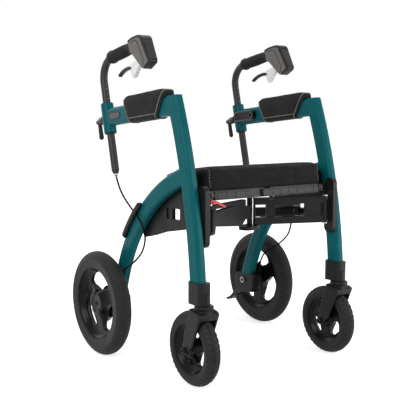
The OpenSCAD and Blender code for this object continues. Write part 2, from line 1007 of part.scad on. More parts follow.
module brake_drum() {
    drum_x0 = bracket_out + seat_gap;
    last = len(cable_route) - 1;
    end = cable_route[last];
    way = end - cable_route[last - 1];
    color("#19191a")
        difference() {
            union() {
                translate([drum_x0, rear_y, rear_z]) {
                    x_bar(drum_d, 0, drum_w - drum_step);
                    x_bar(drum_d - 3 * drum_step, 0, drum_w);
                }
                across(drum_x0, drum_x0 + drum_arm_t)
                    translate([rear_y, rear_z])
                        polygon(drum_arm);
                translate(end + seat_gap * unit(way))
                    rotate([0, acos(way[2] / norm(way)), atan2(way[1], way[0])])
                        cylinder(d = stop_d, h = stop_l);
            }
            translate([0, rear_y, rear_z])
                x_bar(axle_d + 2 * seat_gap, 0, far / 2);
        }
}

// casters

module fork_shape() {
    translate([front_y, front_z]) {
        polygon(fork_side);
        circle(d = fork_eye);
    }
}

module caster_fork() {
    inner = front_tyre_w / 2 + fork_play;
    outer = inner + blade_t;
    color("#222324")
        difference() {
            union() {
                translate([caster_x, 0, 0]) {
                    for (x = [-outer, inner])
                        across(x, x + blade_t)
                            fork_shape();
                    intersection() {
                        across(-outer, outer)
                            fork_shape();
                        translate([-far / 2, -far / 2, crown_z])
                            cube(far);
                    }
                }
                translate([caster_x, swivel_y, 0]) {
                    translate([0, 0, neck_z])
                        cylinder(d = neck_d, h = cap_z - neck_z + over);
                    translate([0, 0, cap_z])
                        cylinder(d = cap_d, h = socket_z - side_play - cap_z);
                    translate([0, 0, cap_z])
                        cylinder(d = stem_d, h = socket_z + stem_l - cap_z);
                }
            }
            translate([caster_x, front_y, front_z]) {
                x_bar(front_d + 2 * fork_play, -inner, inner);
                x_bar(front_axle_d + 2 * seat_gap, -far / 4, far / 4);
            }
        }
}

module front_axle() {
    outer = front_tyre_w / 2 + fork_play + blade_t;
    color("#9a9da1")
        at_front_wheel() {
            x_bar(front_axle_d, -outer - head_l / 2, outer + head_l / 2);
            for (x = [-outer - head_l, outer + seat_gap])
                x_bar(head_d, x, x + head_l - seat_gap);
        }
}

// handles

// the tube's run from below the clamp, round the bend and through the grip
module tube_run(d, foot, nose) {
    in_handle() {
        translate([0, 0, -foot])
            cylinder(d = d, h = foot + corner_l - bend_cut);
        bend(-handle_bend, corner_l - bend_cut, handle_bend, 0, handle_turn)
            circle(d = d);
    }
    in_grip()
        translate([0, 0, bend_cut - tube_lap])
            cylinder(d = d - tube_step, h = nose + tube_lap);
}

module handle_tube() {
    color("#202122")
        difference() {
            union() {
                tube_run(tube_d, tube_below, tube_nose);
                in_handle() {
                    translate([0, 0, -tube_below - cap_l])
                        cylinder(d1 = tube_d - cap_taper, d2 = tube_d - over, h = cap_l + eps);
                    translate([0, 0, -tube_below - ferrule_l])
                        cylinder(d = ferrule_d, h = ferrule_l);
                }
            }
            tube_run(tube_d - 2 * tube_wall, tube_below - tube_plug, tube_nose - tube_plug);
        }
}

module grip() {
    color("#1b1b1c")
        in_grip()
            translate([0, 0, bend_cut])
                rotate_extrude()
                    difference() {
                        union() {
                            square([grip_d / 2 - over, grip_l]);
                            translate([grip_d / 2 - grip_ring / 1.5, grip_ring_at])
                                circle(grip_ring);
                            translate([grip_d / 2 - grip_bulge, grip_l / 2])
                                intersection() {
                                    circle(grip_bulge, $fn = 180);
                                    translate([0, -grip_l / 2])
                                        square([2 * grip_bulge, grip_l]);
                                }
                        }
                        translate([-far, -over])
                            square([far + grip_bore / 2, grip_l + 2 * over]);
                    }
}

module brake_housing() {
    cheek = lever_w / 2 + side_play;
    color("#3a3836")
        difference() {
            intersection() {
                grip_side(2 * housing_w)
                    polygon(housing_side);
                in_grip()
                    linear_extrude(far / 4)
                        polygon([[-housing_w / 2, housing_top_u], [housing_w / 2, housing_top_u],
                            [housing_foot_w / 2, housing_foot_u], [-housing_foot_w / 2, housing_foot_u]]);
            }
            grip_side(2 * cheek)
                translate([slot_f0, slot_u0])
                    square([slot_f1 - slot_f0, slot_u1 - slot_u0]);
            in_grip()
                cylinder(d = grip_bore, h = bend_cut + grip_l + collar_l + seat_gap);
            in_grip()
                cylinder(d = collar_bore, h = bend_cut + grip_l + seat_gap);
        }
    color("#b9bcc0")
        grip_side(lever_pin_l)
            translate([pivot_f, pivot_u])
                circle(d = lever_pin_d);
}

module brake_lever() {
    color("#c4c6c8")
        difference() {
            grip_side(lever_w) {
                polygon(lever_body);
                translate([pivot_f, pivot_u])
                    circle(d = lever_eye);
                intersection() {
                    translate([blade_cf, blade_cu])
                        difference() {
                            circle(blade_r, $fn = 180);
                            circle(blade_r - blade_h, $fn = 180);
                        }
                    translate([blade_f0, blade_cu])
                        square([blade_f1 - blade_f0, -blade_cu]);
                }
            }
            grip_side(lever_w + 2 * over)
                translate([pivot_f, pivot_u])
                    circle(d = lever_pin_d + 2 * run_play);
        }
}

module clamp_lever() {
    color("#151516")
        in_handle()
            translate([0, boss_end + side_play, clamp_at])
                rotate([-90, 0, 0]) {
                    cylinder(d1 = knob_d, d2 = 0.8 * knob_d, h = knob_l);
                    translate([0, 0, -stud_l])
                        cylinder(d = stud_d, h = stud_l + over);
                    translate([0, 0, knob_l / 2])
                        rotate([-90, 0, 0])
                            cylinder(d1 = 0.8 * lever_d, d2 = lever_d, h = lever_l);
                    translate([0, lever_l, knob_l / 2])
                        sphere(d = lever_d);
                }
}

// fold linkage

// Y along an arm from its hinge to its knee, for the arm on the +X side
module in_arm_link(y) {
    translate([hinge_x, y, 0])
        rotate([0, 0, 90 - arm_a])
            children();
}

// flat shape given as (along the arm, z), drawn with the thickness t
module link_plate(t) {
    rotate([90, 0, 90])
        translate([0, 0, -t / 2])
            linear_extrude(t)
                children();
}

// the two ears of an arm of height h over z0, without the room for the side frame's barrel
module hinge_ears(z0, h, ear) {
    for (z = [z0, z0 + h - ear])
        translate([0, 0, z])
            cylinder(d = barrel_d, h = ear);
}

module hinge_space(z0, h, ear) {
    translate([0, 0, z0 + ear])
        cylinder(d = barrel_d + 2 * side_play + 2 * over, h = h - 2 * ear);
    translate([0, 0, z0 - over])
        cylinder(d = hinge_pin_d + 2 * run_play, h = h + 2 * over);
}

// room for the knee's pin, open to the front
module knee_space(z0, z1, play) {
    translate([0, arm_l, 0]) {
        translate([0, 0, z0 - over])
            cylinder(d = knee_pin_d + 2 * play, h = z1 - z0 + 2 * over);
        rotate([0, 0, arm_a - 90])
            front_slot(knee_slot, z0 - over, z1 + over);
    }
}

module knuckle(z0, z1) {
    translate([0, arm_l, z0])
        cylinder(d = knuckle_d, h = z1 - z0);
}

// right arm: its upper and lower bar take the knee between them, with a web as long as web at its hinge
module fork_arm(y, z0, h, bar, ear, web) {
    z1 = z0 + h;
    color("#1c1d1e")
        in_arm_link(y)
            difference() {
                union() {
                    link_plate(arm_t) {
                        translate([0, z0])
                            square([arm_l, bar]);
                        translate([0, z1 - bar])
                            square([arm_l, bar]);
                    }
                    link_plate(web_t) {
                        translate([root_l, z0 + over])
                            square([web - root_l, h - 2 * over]);
                        translate([arm_l - knee_clear - knee_post, z0 + over])
                            square([knee_post, h - 2 * over]);
                    }
                    hinge_ears(z0, h, ear);
                    knuckle(z0, z0 + bar);
                    knuckle(z1 - bar, z1);
                }
                hinge_space(z0, h, ear);
                knee_space(z0, z1, run_play);
            }
}

// left arm: its single knuckle sits between the right arm's bars
module tongue_arm(y, z0, h, bar, ear, low, windows) {
    z1 = z0 + h;
    m0 = z0 + bar + over;
    m1 = z1 - bar - over;
    color("#1c1d1e")
        in_arm_link(y)
            difference() {
                union() {
                    link_plate(arm_t)
                        difference() {
                            polygon(concat(
                                [[0, z1], [0, z0], [root_l, z0]],
                                [for (p = low) [p[0], z0 + p[1]]],
                                [[arm_l - knee_clear, m0], [arm_l, m0], [arm_l, m1]],
                                [[arm_l - knee_clear, m1], [arm_l - knee_clear - over, z1]]
                            ));
                            for (w = windows)
                                translate([0, z0])
                                    polygon(w);
                        }
                    hinge_ears(z0, h, ear);
                    knuckle(m0, m1);
                }
                hinge_space(z0, h, ear);
                knee_space(m0, m1, seat_gap);
            }
}

module front_fork() {
    fork_arm(front_hinge_y, link_z, link_h, bar_h, ear_h, web_l);
}

module front_tongue() {
    tongue_arm(front_hinge_y, link_z, link_h, bar_h, ear_h, tongue_low, tongue_windows);
}

module rear_fork() {
    fork_arm(rear_hinge_y, rear_link_z, rear_link_h, rear_bar_h, rear_ear_h, arm_l - knee_clear - over);
}

module rear_tongue() {
    tongue_arm(rear_hinge_y, rear_link_z, rear_link_h, rear_bar_h, rear_ear_h, [], []);
}

module knee_pin(y, z0, h) {
    color("#c9ccd0")
        translate([0, y + knee_back, z0 - side_play])
            cylinder(d = knee_pin_d, h = h + 2 * side_play);
}

// oblong foot under the front knee, along the left arm
module knee_foot() {
    color("#17181a")
        translate([0, 0, link_z - side_play - foot_h])
            in_arm_link(front_hinge_y)
                linear_extrude(foot_h - seat_gap) {
                    for (t = [arm_l - foot_l, arm_l])
                        translate([0, t])
                            circle(d = foot_d);
                    translate([-foot_d / 2, arm_l - foot_l])
                        square([foot_d, foot_l]);
                }
}

// seat

module seat_board(is_right) {
    lip = is_right ? lip_in : -lip_clear;
    bar_x0 = is_right ? bar_in_right : bar_in;
    color("#3b3c3e")
        in_seat()
            difference() {
                union() {
                    translate([board_gap, ear_y1 + side_play, board_low])
                        cube([seat_pivot_x - board_gap, seat_depth - back_in, board_top - board_low]);
                    translate([bar_x0, bar_y1 + bar_play, bar_low])
                        cube([seat_pivot_x - ear_r - bar_x0 - 2 * over, bar_t - bar_play, bar_top - bar_low]);
                    translate([-lip, bar_y0, bar_low])
                        cube([seat_pivot_x - ear_r - 2 * over + lip, bar_y1 - bar_y0, bar_top - bar_low]);
                    translate([max(bar_x0, lip_clear) + over, bar_y0 + over, bar_low + over])
                        cube([rib_gap, bar_t + over, bar_top - bar_low - 2 * over]);
                    for (i = [1:rib_n])
                        translate([board_gap + rib_gap * i, ear_y1 + side_play, board_low - rib_h])
                            cube([rib_t, seat_depth - back_in - rib_t, rib_h + over]);
                    translate([seat_pivot_x, back_ear_y0 - side_play, 0])
                        rotate([90, 0, 0])
                            cylinder(r = ear_r, h = back_ear_y0 - ear_y1 - 2 * side_play);
                    if (is_right)
                        translate([loop_x, 0, bar_low - loop_r + loop_wire])
                            rotate([90, 0, 0])
                                rotate_extrude()
                                    translate([loop_r, 0])
                                        circle(loop_wire);
                }
                translate([seat_pivot_x, far / 8, 0])
                    rotate([90, 0, 0])
                        cylinder(d = seat_pin_d + 2 * run_play, h = far / 4);
                translate([seat_pivot_x - ear_r - over, back_ear_y0 - side_play, -far / 8])
                    cube([far, far, far / 4]);
            }
}

// one ring of the cushion's outline, drawn in by d at the height z
cushion_n = 48;
cushion_soft = 0.16;
function cushion_ring(d, z) = [
    for (i = [0:cushion_n - 1])
        let (a = i * 360 / cushion_n, c = cos(a), s = sin(a))
        [(seat_w / 2 - d) * sign(c) * pow(abs(c), cushion_soft),
         seat_depth / 2 + cushion_y0 + (seat_depth / 2 - d) * sign(s) * pow(abs(s), cushion_soft), z]
];
cushion_d = [9, 3, 0.5, 0.8, 1.6, 0.8, 0.6, 3, 9, 22, 42, 66, 88];
cushion_t = [0, 0.06, 0.16, 0.35, 0.55, 0.76, 0.88, 0.97, 1, 1, 1, 1, 1];
cushion_c = [0, 0, 0, 0, 0, 0, 0, 0, 0.12, 0.45, 0.75, 0.93, 1];
cushion_m = len(cushion_d);
cushion_points = [
    for (i = [0:cushion_m - 1])
        each cushion_ring(cushion_d[i], board_top + cushion_t[i] * cushion_h + cushion_c[i] * cushion_crown)
];
cushion_faces = concat(
    [[for (j = [0:cushion_n - 1]) j]],
    [for (i = [0:cushion_m - 2], j = [0:cushion_n - 1])
        [i * cushion_n + j, (i + 1) * cushion_n + (j + 1) % cushion_n, i * cushion_n + (j + 1) % cushion_n]],
    [for (i = [0:cushion_m - 2], j = [0:cushion_n - 1])
        [i * cushion_n + j, (i + 1) * cushion_n + j, (i + 1) * cushion_n + (j + 1) % cushion_n]],
    [[for (j = [cushion_n - 1:-1:0]) (cushion_m - 1) * cushion_n + j]]
);

module seat_cushion() {
    color("#202022")
        in_seat()
            intersection() {
                polyhedron(cushion_points, cushion_faces, convexity = 6);
                translate([side_play, -far / 2, 0])
                    cube([far, far, far]);
            }
}

module release_lever() {
    color("#d3222a")
        difference() {
            union() {
                translate([release_x, release_y1, release_z])
                    rotate([90, 0, 0])
                        linear_extrude(release_y1 - release_y0) {
                            polygon(release_side);
                            circle(d = release_eye);
                        }
            }
            translate([release_x, release_y1 + over, release_z])
                rotate([90, 0, 0])
                    cylinder(d = release_pin_d + 2 * run_play, h = release_y1 - release_y0 + 2 * over);
        }
}

for (s = sides) {
    on_side(s) front_leg();
    on_side(s) rear_leg();
    on_side(s) arm();
    on_side(s) arm_pad();
    on_side(s) caster_socket();
    on_side(s) axle_bracket();
    on_side(s) gusset_panel();
    on_side(s) hinge_bracket(s == "left");
    on_side(s) cable_clip();
    on_side(s) accessory_socket();
    on_side(s) steel_pins();
    on_side(s) brake_drum();
    on_side(s) brake_cable();
    on_side(s) handle_tube();
    on_side(s) grip();
    on_side(s) brake_housing();
    on_side(s) brake_lever();
    on_side(s) clamp_lever();
    on_side(s) rear_tyre();
    on_side(s) rear_rim();
    on_side(s) caster_fork();
    on_side(s) front_axle();
    on_side(s) front_tyre();
    on_side(s) front_rim();
    on_side(s) seat_board(s == "right");
    on_side(s) seat_cushion();
}
on_side("left") front_tongue();  // front_left_arm
front_fork();  // front_right_arm
on_side("left") rear_tongue();  // rear_left_arm
rear_fork();  // rear_right_arm
knee_pin(front_hinge_y, link_z, link_h);  // front_knee_pin
on_side("left") knee_foot();
knee_pin(rear_hinge_y, rear_link_z, rear_link_h);  // rear_knee_pin
on_side("left") release_lever();
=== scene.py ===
"""Dresses the folding rollator: a material on every CAD node, and finer pieces where the photo shows more."""

import json
import math

import bmesh
import bpy
import numpy as np
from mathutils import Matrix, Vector
from mathutils.bvhtree import BVHTree


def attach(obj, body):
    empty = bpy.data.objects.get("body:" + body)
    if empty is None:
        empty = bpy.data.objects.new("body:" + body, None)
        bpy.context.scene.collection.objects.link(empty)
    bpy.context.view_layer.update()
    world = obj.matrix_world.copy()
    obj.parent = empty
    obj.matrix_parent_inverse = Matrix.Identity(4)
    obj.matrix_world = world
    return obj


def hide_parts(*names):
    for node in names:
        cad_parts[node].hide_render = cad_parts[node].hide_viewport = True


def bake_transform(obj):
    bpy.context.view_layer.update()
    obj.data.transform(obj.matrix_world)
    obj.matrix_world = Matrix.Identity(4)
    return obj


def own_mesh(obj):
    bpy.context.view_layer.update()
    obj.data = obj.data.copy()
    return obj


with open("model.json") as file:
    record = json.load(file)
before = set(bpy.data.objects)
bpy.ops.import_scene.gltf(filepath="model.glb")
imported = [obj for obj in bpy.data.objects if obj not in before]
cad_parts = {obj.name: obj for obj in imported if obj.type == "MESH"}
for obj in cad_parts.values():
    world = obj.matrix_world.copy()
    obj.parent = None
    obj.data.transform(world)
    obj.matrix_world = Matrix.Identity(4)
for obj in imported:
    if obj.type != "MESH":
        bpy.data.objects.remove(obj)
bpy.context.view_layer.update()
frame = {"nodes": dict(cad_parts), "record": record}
nodes = frame["nodes"]

MM = 0.001
TAU = 2 * math.pi
SIDES = {"left": -1, "right": 1}

# places of the right side, in mm, as the CAD has them
FRAME_X = 240
HANDLE_FOOT = (190, 628)
HANDLE_LEAN = math.radians(13.1)
CORNER_L = 205
GRIP_RISE = math.radians(10)
GRIP_START = 59.1
GRIP_L = 120
REAR_AXLE = (297, 160, 148)
FRONT_AXLE = (236, -212, 96)
ARM_FOOT = (-118, 700)
ARM_FALL = math.radians(5.2)
SEAT_AT = (-218, 479)
SEAT_FALL = math.radians(7.5)


# shader nodes

def enter(tree, node, entries):
    """Fills a node's inputs, each with a value or an output of another node."""
    for entry, value in entries.items():
        if isinstance(value, bpy.types.NodeSocket):
            tree.links.new(value, node.inputs[entry])
        else:
            node.inputs[entry].default_value = value


def new_node(tree, kind, entries):
    node = tree.nodes.new("ShaderNode" + kind)
    enter(tree, node, entries)
    return node


def maths(tree, operation, *values):
    """One operation on numbers and outputs of nodes."""
    node = new_node(tree, "Math", dict(enumerate(values)))
    node.operation = operation
    return node.outputs[0]


def seen_ray(tree):
    """1 for rays of the camera, a mirror or glass, which all show the white background."""
    rays = tree.nodes.new("ShaderNodeLightPath")
    value = rays.outputs["Is Camera Ray"]
    for kind in ("Is Glossy Ray", "Is Transmission Ray"):
        value = maths(tree, "MAXIMUM", value, rays.outputs[kind])
    return value


def span(tree, value, low, high, a=0.3, b=0.7):
    """A value from a to b, stretched to run from low to high."""
    entries = {"Value": value, "From Min": a, "From Max": b, "To Min": low, "To Max": high}
    return new_node(tree, "MapRange", entries).outputs["Result"]


def noise(tree, place, scale, detail=3):
    """Cloudy noise from 0 to 1."""
    return new_node(tree, "TexNoise", {"Vector": place, "Scale": scale, "Detail": detail}).outputs["Fac"]


def parts_of(tree, vector):
    return new_node(tree, "SeparateXYZ", {0: vector}).outputs[:3]


def mixed(tree, blend, **entries):
    node = tree.nodes.new("ShaderNodeMix")
    node.data_type = "RGBA"
    node.blend_type = blend
    enter(tree, node, entries)
    return node.outputs["Result"]


# stage

# camera, fitted to the photo, in mm
CAMERA_AT = (-1307.1, -1711.7, 671.5)
CAMERA_WAY = (0.592, 0.7971, -0.1189)
CAMERA_LENS = 65.41
CAMERA_SENSOR = 36
WHITE = (1, 1, 1, 1)
SOFT_LIGHT = 0.08
# lamps: place and size in metres, power in watts
LAMPS = (("key", (-2.6, -1, 1.7), (1.7, 1.7), 60),
         ("front", (0.8, -2.8, 1.7), (1.5, 1.5), 12),
         ("strip", (1.5, -2, 0.75), (0.8, 1.3), 34),
         ("top", (0.2, 0.4, 2.9), (2, 2), 38),
         ("back", (-0.6, 2.6, 1.4), (1.6, 1.6), 18))
LAMP_AIM = (0, 0, 0.42)
# floor in metres, and its glow, which grows with the distance
FLOOR_HALF = 40
FLOOR_DROP = 0.0005
FLOOR_TONE = (0.86, 0.86, 0.86, 1)
FLOOR_ROUGH = 0.9
GLOW_REACH = (0.3, 2.2)
GLOW_POWER = (0.62, 1)


def aimed(way):
    return Vector(way).to_track_quat("-Z", "Y").to_euler()


def placed(name, data, at):
    obj = bpy.data.objects.new(name, data)
    obj.location = at
    bpy.context.scene.collection.objects.link(obj)
    return obj


def set_camera():
    cam = placed("camera", bpy.data.cameras.new("camera"), Vector(CAMERA_AT) * MM)
    cam.data.lens = CAMERA_LENS
    cam.data.sensor_width = CAMERA_SENSOR
    cam.rotation_euler = aimed(CAMERA_WAY)
    bpy.context.scene.camera = cam


def set_world():
    """Soft light, seen as plain white."""
    world = bpy.data.worlds.new("studio")
    bpy.context.scene.world = world
    world.use_nodes = True
    tree = world.node_tree
    tree.nodes.clear()
    soft, white = (new_node(tree, "Background", {"Color": WHITE, "Strength": strength}).outputs[0]
                   for strength in (SOFT_LIGHT, 1))
    mix = new_node(tree, "MixShader", {0: seen_ray(tree), 1: soft, 2: white})
    new_node(tree, "OutputWorld", {"Surface": mix.outputs[0]})


def set_lamps():
    for name, at, size, power in LAMPS:
        data = bpy.data.lights.new(name, "AREA")
        data.energy = power
        data.shape = "RECTANGLE"
        data.size, data.size_y = size
        lamp = placed(name, data, at)
        lamp.rotation_euler = aimed(Vector(LAMP_AIM) - Vector(at))


def set_floor():
    """Pale paper that fades into white."""
    corners = [(x * FLOOR_HALF, y * FLOOR_HALF, 0) for x, y in ((-1, -1), (1, -1), (1, 1), (-1, 1))]
    mesh = bpy.data.meshes.new("floor")
    mesh.from_pydata(corners, [], [(0, 1, 2, 3)])
    floor = placed("floor", mesh, (0, 0, -FLOOR_DROP))
    mat = bpy.data.materials.new("floor_paper")
    mat.use_nodes = True
    tree = mat.node_tree
    place = tree.nodes.new("ShaderNodeTexCoord")
    away = new_node(tree, "VectorMath", {0: place.outputs["Object"]})
    away.operation = "LENGTH"
    fade = span(tree, away.outputs["Value"], *GLOW_POWER, *GLOW_REACH)
    glow = maths(tree, "MULTIPLY", seen_ray(tree), fade)
    enter(tree, tree.nodes["Principled BSDF"], {"Base Color": FLOOR_TONE, "Roughness": FLOOR_ROUGH,
                                                "Emission Color": WHITE, "Emission Strength": glow})
    mesh.materials.append(mat)


def set_stage():
    bpy.context.scene.view_settings.view_transform = "Standard"
    set_camera()
    set_world()
    set_lamps()
    set_floor()


# materials

# scales of the noises, per metre
MOTTLE_SCALE = 26
ROUGH_SCALE = 90
DUST_AND_TOP_LIGHT_SCALE = 60
BRUSH_SCALE = 30
# pale tone of dust and of painted light from above, laid on faces that look up
DUST_AND_TOP_LIGHT_TONE = (0.16, 0.155, 0.15, 1)
# painted shade of the weave: threads darker where they sink and lighter where they rise
THREAD_SHADE_TONES = (0.7, 1.35)
MOTTLE_LIFT = 0.002


def woven(tree, place, pitch):
    """Crossing threads from -1 to 1, a pitch in mm apart."""
    x, y, z = parts_of(tree, place)
    turns = TAU / (pitch * MM)
    skew = maths(tree, "MULTIPLY", maths(tree, "SUBTRACT", y, z), 0.5)
    ways = (maths(tree, "ADD", x, skew), maths(tree, "ADD", y, z))
    warp, weft = (maths(tree, "SINE", maths(tree, "MULTIPLY", way, turns)) for way in ways)
    return maths(tree, "MULTIPLY", warp, weft)


def brush_lines(tree, place, pitch):
    """Fine level lines, a pitch in mm apart."""
    scale = (BRUSH_SCALE, BRUSH_SCALE, 1 / (pitch * MM))
    lines = new_node(tree, "Mapping", {"Vector": place, "Scale": scale})
    return noise(tree, lines.outputs[0], 1, 2)


def dusted_and_top_lit(tree, place, shade, dust_and_top_light):
    """Pale dust and painted light from above on faces that look up."""
    normal = tree.nodes.new("ShaderNodeNewGeometry").outputs["Normal"]
    # painted light from above, mixed with dust: the more a face looks up, the paler it is made
    upward = span(tree, parts_of(tree, normal)[2], 0, dust_and_top_light, 0.2, 1)
    patches = span(tree, noise(tree, place, DUST_AND_TOP_LIGHT_SCALE, 5), 0.3, 1)
    share = maths(tree, "MULTIPLY", upward, patches)
    return mixed(tree, "MIX", Factor=share, A=shade, B=DUST_AND_TOP_LIGHT_TONE)


def finish(name, color, rough, shine, grain, bump, mottle, metal=0, sheen=0, spread=0.04, weave=0,
           brushed=0, dust_and_top_light=0):
    """A procedural material; grain, bump, weave and brushed are in mm; dust lightens faces that look up,
    partly as dust and partly as painted light from above.
    """
    mat = bpy.data.materials.new(name)
    mat.use_nodes = True
    tree = mat.node_tree
    place = tree.nodes.new("ShaderNodeTexCoord").outputs["Object"]

    dark = [c * (1 - mottle) for c in color] + [1]
    pale = [c * (1 + mottle) + MOTTLE_LIFT for c in color] + [1]
    clouds = span(tree, noise(tree, place, MOTTLE_SCALE), 0, 1)
    shade = mixed(tree, "MIX", Factor=clouds, A=dark, B=pale)
    height = noise(tree, place, 1 / (grain * MM), 2)
    if weave:
        threads = woven(tree, place, weave)
        height = maths(tree, "ADD", maths(tree, "MULTIPLY", threads, 0.5), height)
        # painted shade in the weave's hollows and painted light on its crests, following the threads' height
        weave_shade = span(tree, threads, *THREAD_SHADE_TONES, -1, 1)
        weave_shades = new_node(tree, "CombineColor", {0: weave_shade, 1: weave_shade, 2: weave_shade})
        shade = mixed(tree, "MULTIPLY", Factor=1, A=shade, B=weave_shades.outputs[0])
    if brushed:
        height = brush_lines(tree, place, brushed)
    if dust_and_top_light:
        shade = dusted_and_top_lit(tree, place, shade, dust_and_top_light)
    patches = span(tree, noise(tree, place, ROUGH_SCALE), rough - spread, rough + spread)
    relief = new_node(tree, "Bump", {"Strength": 1, "Distance": bump * MM, "Height": height})
    enter(tree, tree.nodes["Principled BSDF"], {
        "Base Color": shade, "Roughness": patches, "Normal": relief.outputs[0], "Metallic": metal,
        "Specular IOR Level": shine, "Sheen Weight": sheen})
    return mat


# the record's slots and four more: colour, rough, shine, grain, bump, mottle and what else differs
# dust lightens faces that look up: part dust, part painted light from above
FINISHES = {
    "frame_paint": ((0.0012, 0.092, 0.104), 0.3, 0.06, 1.6, 0.008, 0.05, dict(spread=0.03)),
    "black_plastic": ((0.008, 0.008, 0.0085), 0.36, 0.13, 0.5, 0.012, 0.18, dict(dust_and_top_light=0.01)),
    "gloss_black": ((0.004, 0.004, 0.0045), 0.2, 0.45, 2, 0.003, 0.1, {}),
    "steel": ((0.36, 0.365, 0.38), 0.34, 0.5, 0.6, 0.01, 0.06, dict(metal=1, brushed=0.5)),
    "drum": ((0.004, 0.004, 0.0045), 0.4, 0.1, 0.8, 0.01, 0.18, dict(dust_and_top_light=0.01)),
    "cable_sheath": ((0.004, 0.004, 0.004), 0.55, 0.03, 0.8, 0.02, 0.18, {}),
    "tube_finish": ((0.016, 0.016, 0.0165), 0.42, 0.25, 0.6, 0.008, 0.08, dict(metal=0.1, brushed=0.7)),
    "grip_rubber": ((0.009, 0.009, 0.009), 0.66, 0.14, 0.7, 0.05, 0.18, dict(dust_and_top_light=0.02)),
    "housing": ((0.124, 0.115, 0.107), 0.58, 0.2, 0.5, 0.03, 0.06, {}),
    "lever_alloy": ((0.66, 0.67, 0.68), 0.34, 0.4, 2, 0.003, 0.02, dict(metal=0.1, spread=0.03)),
    "tyre_rubber": ((0.015, 0.015, 0.0155), 0.52, 0.13, 0.9, 0.05, 0.14, dict(dust_and_top_light=0.03)),
    "rim_plastic": ((0.0028, 0.0028, 0.004), 0.27, 0.1, 2.2, 0.003, 0.04, dict(spread=0.02)),
    "seat_plastic": ((0.022, 0.0215, 0.0215), 0.42, 0.14, 0.6, 0.025, 0.08, {}),
    "seat_cover": ((0.0105, 0.0105, 0.011), 0.88, 0.08, 0.8, 0.12, 0.1, dict(sheen=0.03, weave=1.7)),
    "pad_cover": ((0.018, 0.018, 0.0185), 0.86, 0.08, 0.8, 0.12, 0.1, dict(sheen=0.03, weave=1.5)),
    "link_paint": ((0.005, 0.005, 0.0055), 0.33, 0.16, 0.9, 0.01, 0.08, dict(dust_and_top_light=0.015)),
    "release_red": ((0.46, 0.01, 0.018), 0.34, 0.3, 1, 0.008, 0.06, {}),
    "stitch_thread": ((0.3, 0.19, 0.11), 0.8, 0.5, 0.3, 0.05, 0.18, {}),
    "piping_cord": ((0.15, 0.14, 0.13), 0.75, 0.3, 0.4, 0.06, 0.18, {}),
    "height_mark": ((0.16, 0.16, 0.16), 0.45, 0.5, 0.6, 0.01, 0.18, {}),
    "badge_plate": ((0.022, 0.022, 0.023), 0.38, 0.5, 0.6, 0.015, 0.18, dict(metal=0.2)),
}
FINISH = {name: finish(name, *values, **more) for name, (*values, more) in FINISHES.items()}


# mesh helpers

OUT, IN, UP = (1, 0, 0), (-1, 0, 0), (0, 0, 1)
TINY = 1e-6
CREASE = 35
# a direction that no path here follows
ASKEW = (0.31, 0.42, 0.85)


def mesh_of(name, points, faces):
    """A mesh of points in mm."""
    mesh = bpy.data.meshes.new(name)
    mesh.from_pydata([tuple(p) for p in np.array(points, float) * MM], [], faces)
    return mesh


def piece(side, name, verts, faces, slot, body, look=None, bevel=0, crease=CREASE):
    """A mesh in mm on the right side, mirrored for the left; its look is its slot's or its own."""
    name, sx = f"{side}_{name}", SIDES[side]
    pts = np.array(verts, float)
    pts[:, 0] *= sx
    loops = [f[::-1] if sx < 0 else f for f in map(list, faces)]
    mesh = mesh_of(name, pts, loops)
    mesh.validate()
    mesh.materials.append(FINISH[look or slot])
    return settle(name, mesh, f"{side}_{body}", bevel, crease)


def settle(name, mesh, body, bevel=0, crease=CREASE):
    """A mesh as an object: welded, smooth, faces outward and body."""
    obj = placed(name, mesh, (0, 0, 0))
    bm = bmesh.new()
    bm.from_mesh(mesh)
    bmesh.ops.remove_doubles(bm, verts=bm.verts, dist=TINY)
    bmesh.ops.recalc_face_normals(bm, faces=bm.faces)
    bm.to_mesh(mesh)
    bm.free()
    shade_smooth(mesh, crease)
    if bevel:
        soften(obj, bevel, crease)
    if body:
        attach(obj, body)
    return obj


def shade_smooth(mesh, crease):
    mesh.polygons.foreach_set("use_smooth", [True] * len(mesh.polygons))
    mesh.set_sharp_from_angle(angle=math.radians(crease))


def soften(obj, width, angle=30):
    """Rounds edges above an angle."""
    mod = obj.modifiers.new("edges", "BEVEL")
    mod.width = width * MM
    mod.segments = 2
    mod.limit_method = "ANGLE"
    mod.angle_limit = math.radians(angle)
    mod.harden_normals = True


def voxel_solid(blank, voxel, turns=0):
    """The mesh made anew from small voxels, smoothed for some turns."""
    remesh = blank.modifiers.new("voxels", "REMESH")
    remesh.mode = "VOXEL"
    remesh.voxel_size = voxel
    if turns:
        smooth = blank.modifiers.new("smooth", "SMOOTH")
        smooth.factor = 0.5
        smooth.iterations = turns
    bpy.context.view_layer.update()
    solid = bpy.data.meshes.new_from_object(blank.evaluated_get(bpy.context.evaluated_depsgraph_get()))
    blank.modifiers.clear()
    return solid


def grid_faces(rows, cols, close_rows=False, close_cols=True):
    """Faces between rows of points; a closed direction runs round."""
    faces = []
    for i in range(rows if close_rows else rows - 1):
        here = i * cols
        there = (i + 1) % rows * cols
        for j in range(cols if close_cols else cols - 1):
            after = (j + 1) % cols
            faces.append((here + j, here + after, there + after, there + j))
    return faces


def capped_grid(rows, cols):
    """A row of rings with both ends closed."""
    ends = [tuple(range(cols))[::-1], tuple(range((rows - 1) * cols, rows * cols))]
    return grid_faces(rows, cols) + ends


def circle(count, shift=0):
    """Cosine and sine of even steps round a circle."""
    turns = [TAU * (k + shift) / count for k in range(count)]
    return [(math.cos(t), math.sin(t)) for t in turns]


def squared(value, power):
    """A sine or cosine pressed out, so that a circle turns square."""
    return math.copysign(abs(value) ** power, value)


def even(a, b, count):
    return [a + (b - a) * k / count for k in range(count + 1)]


def swelling(x, height, at, width):
    """What a smooth hump adds at x."""
    return height * math.exp(-((x - at) / width) ** 2)


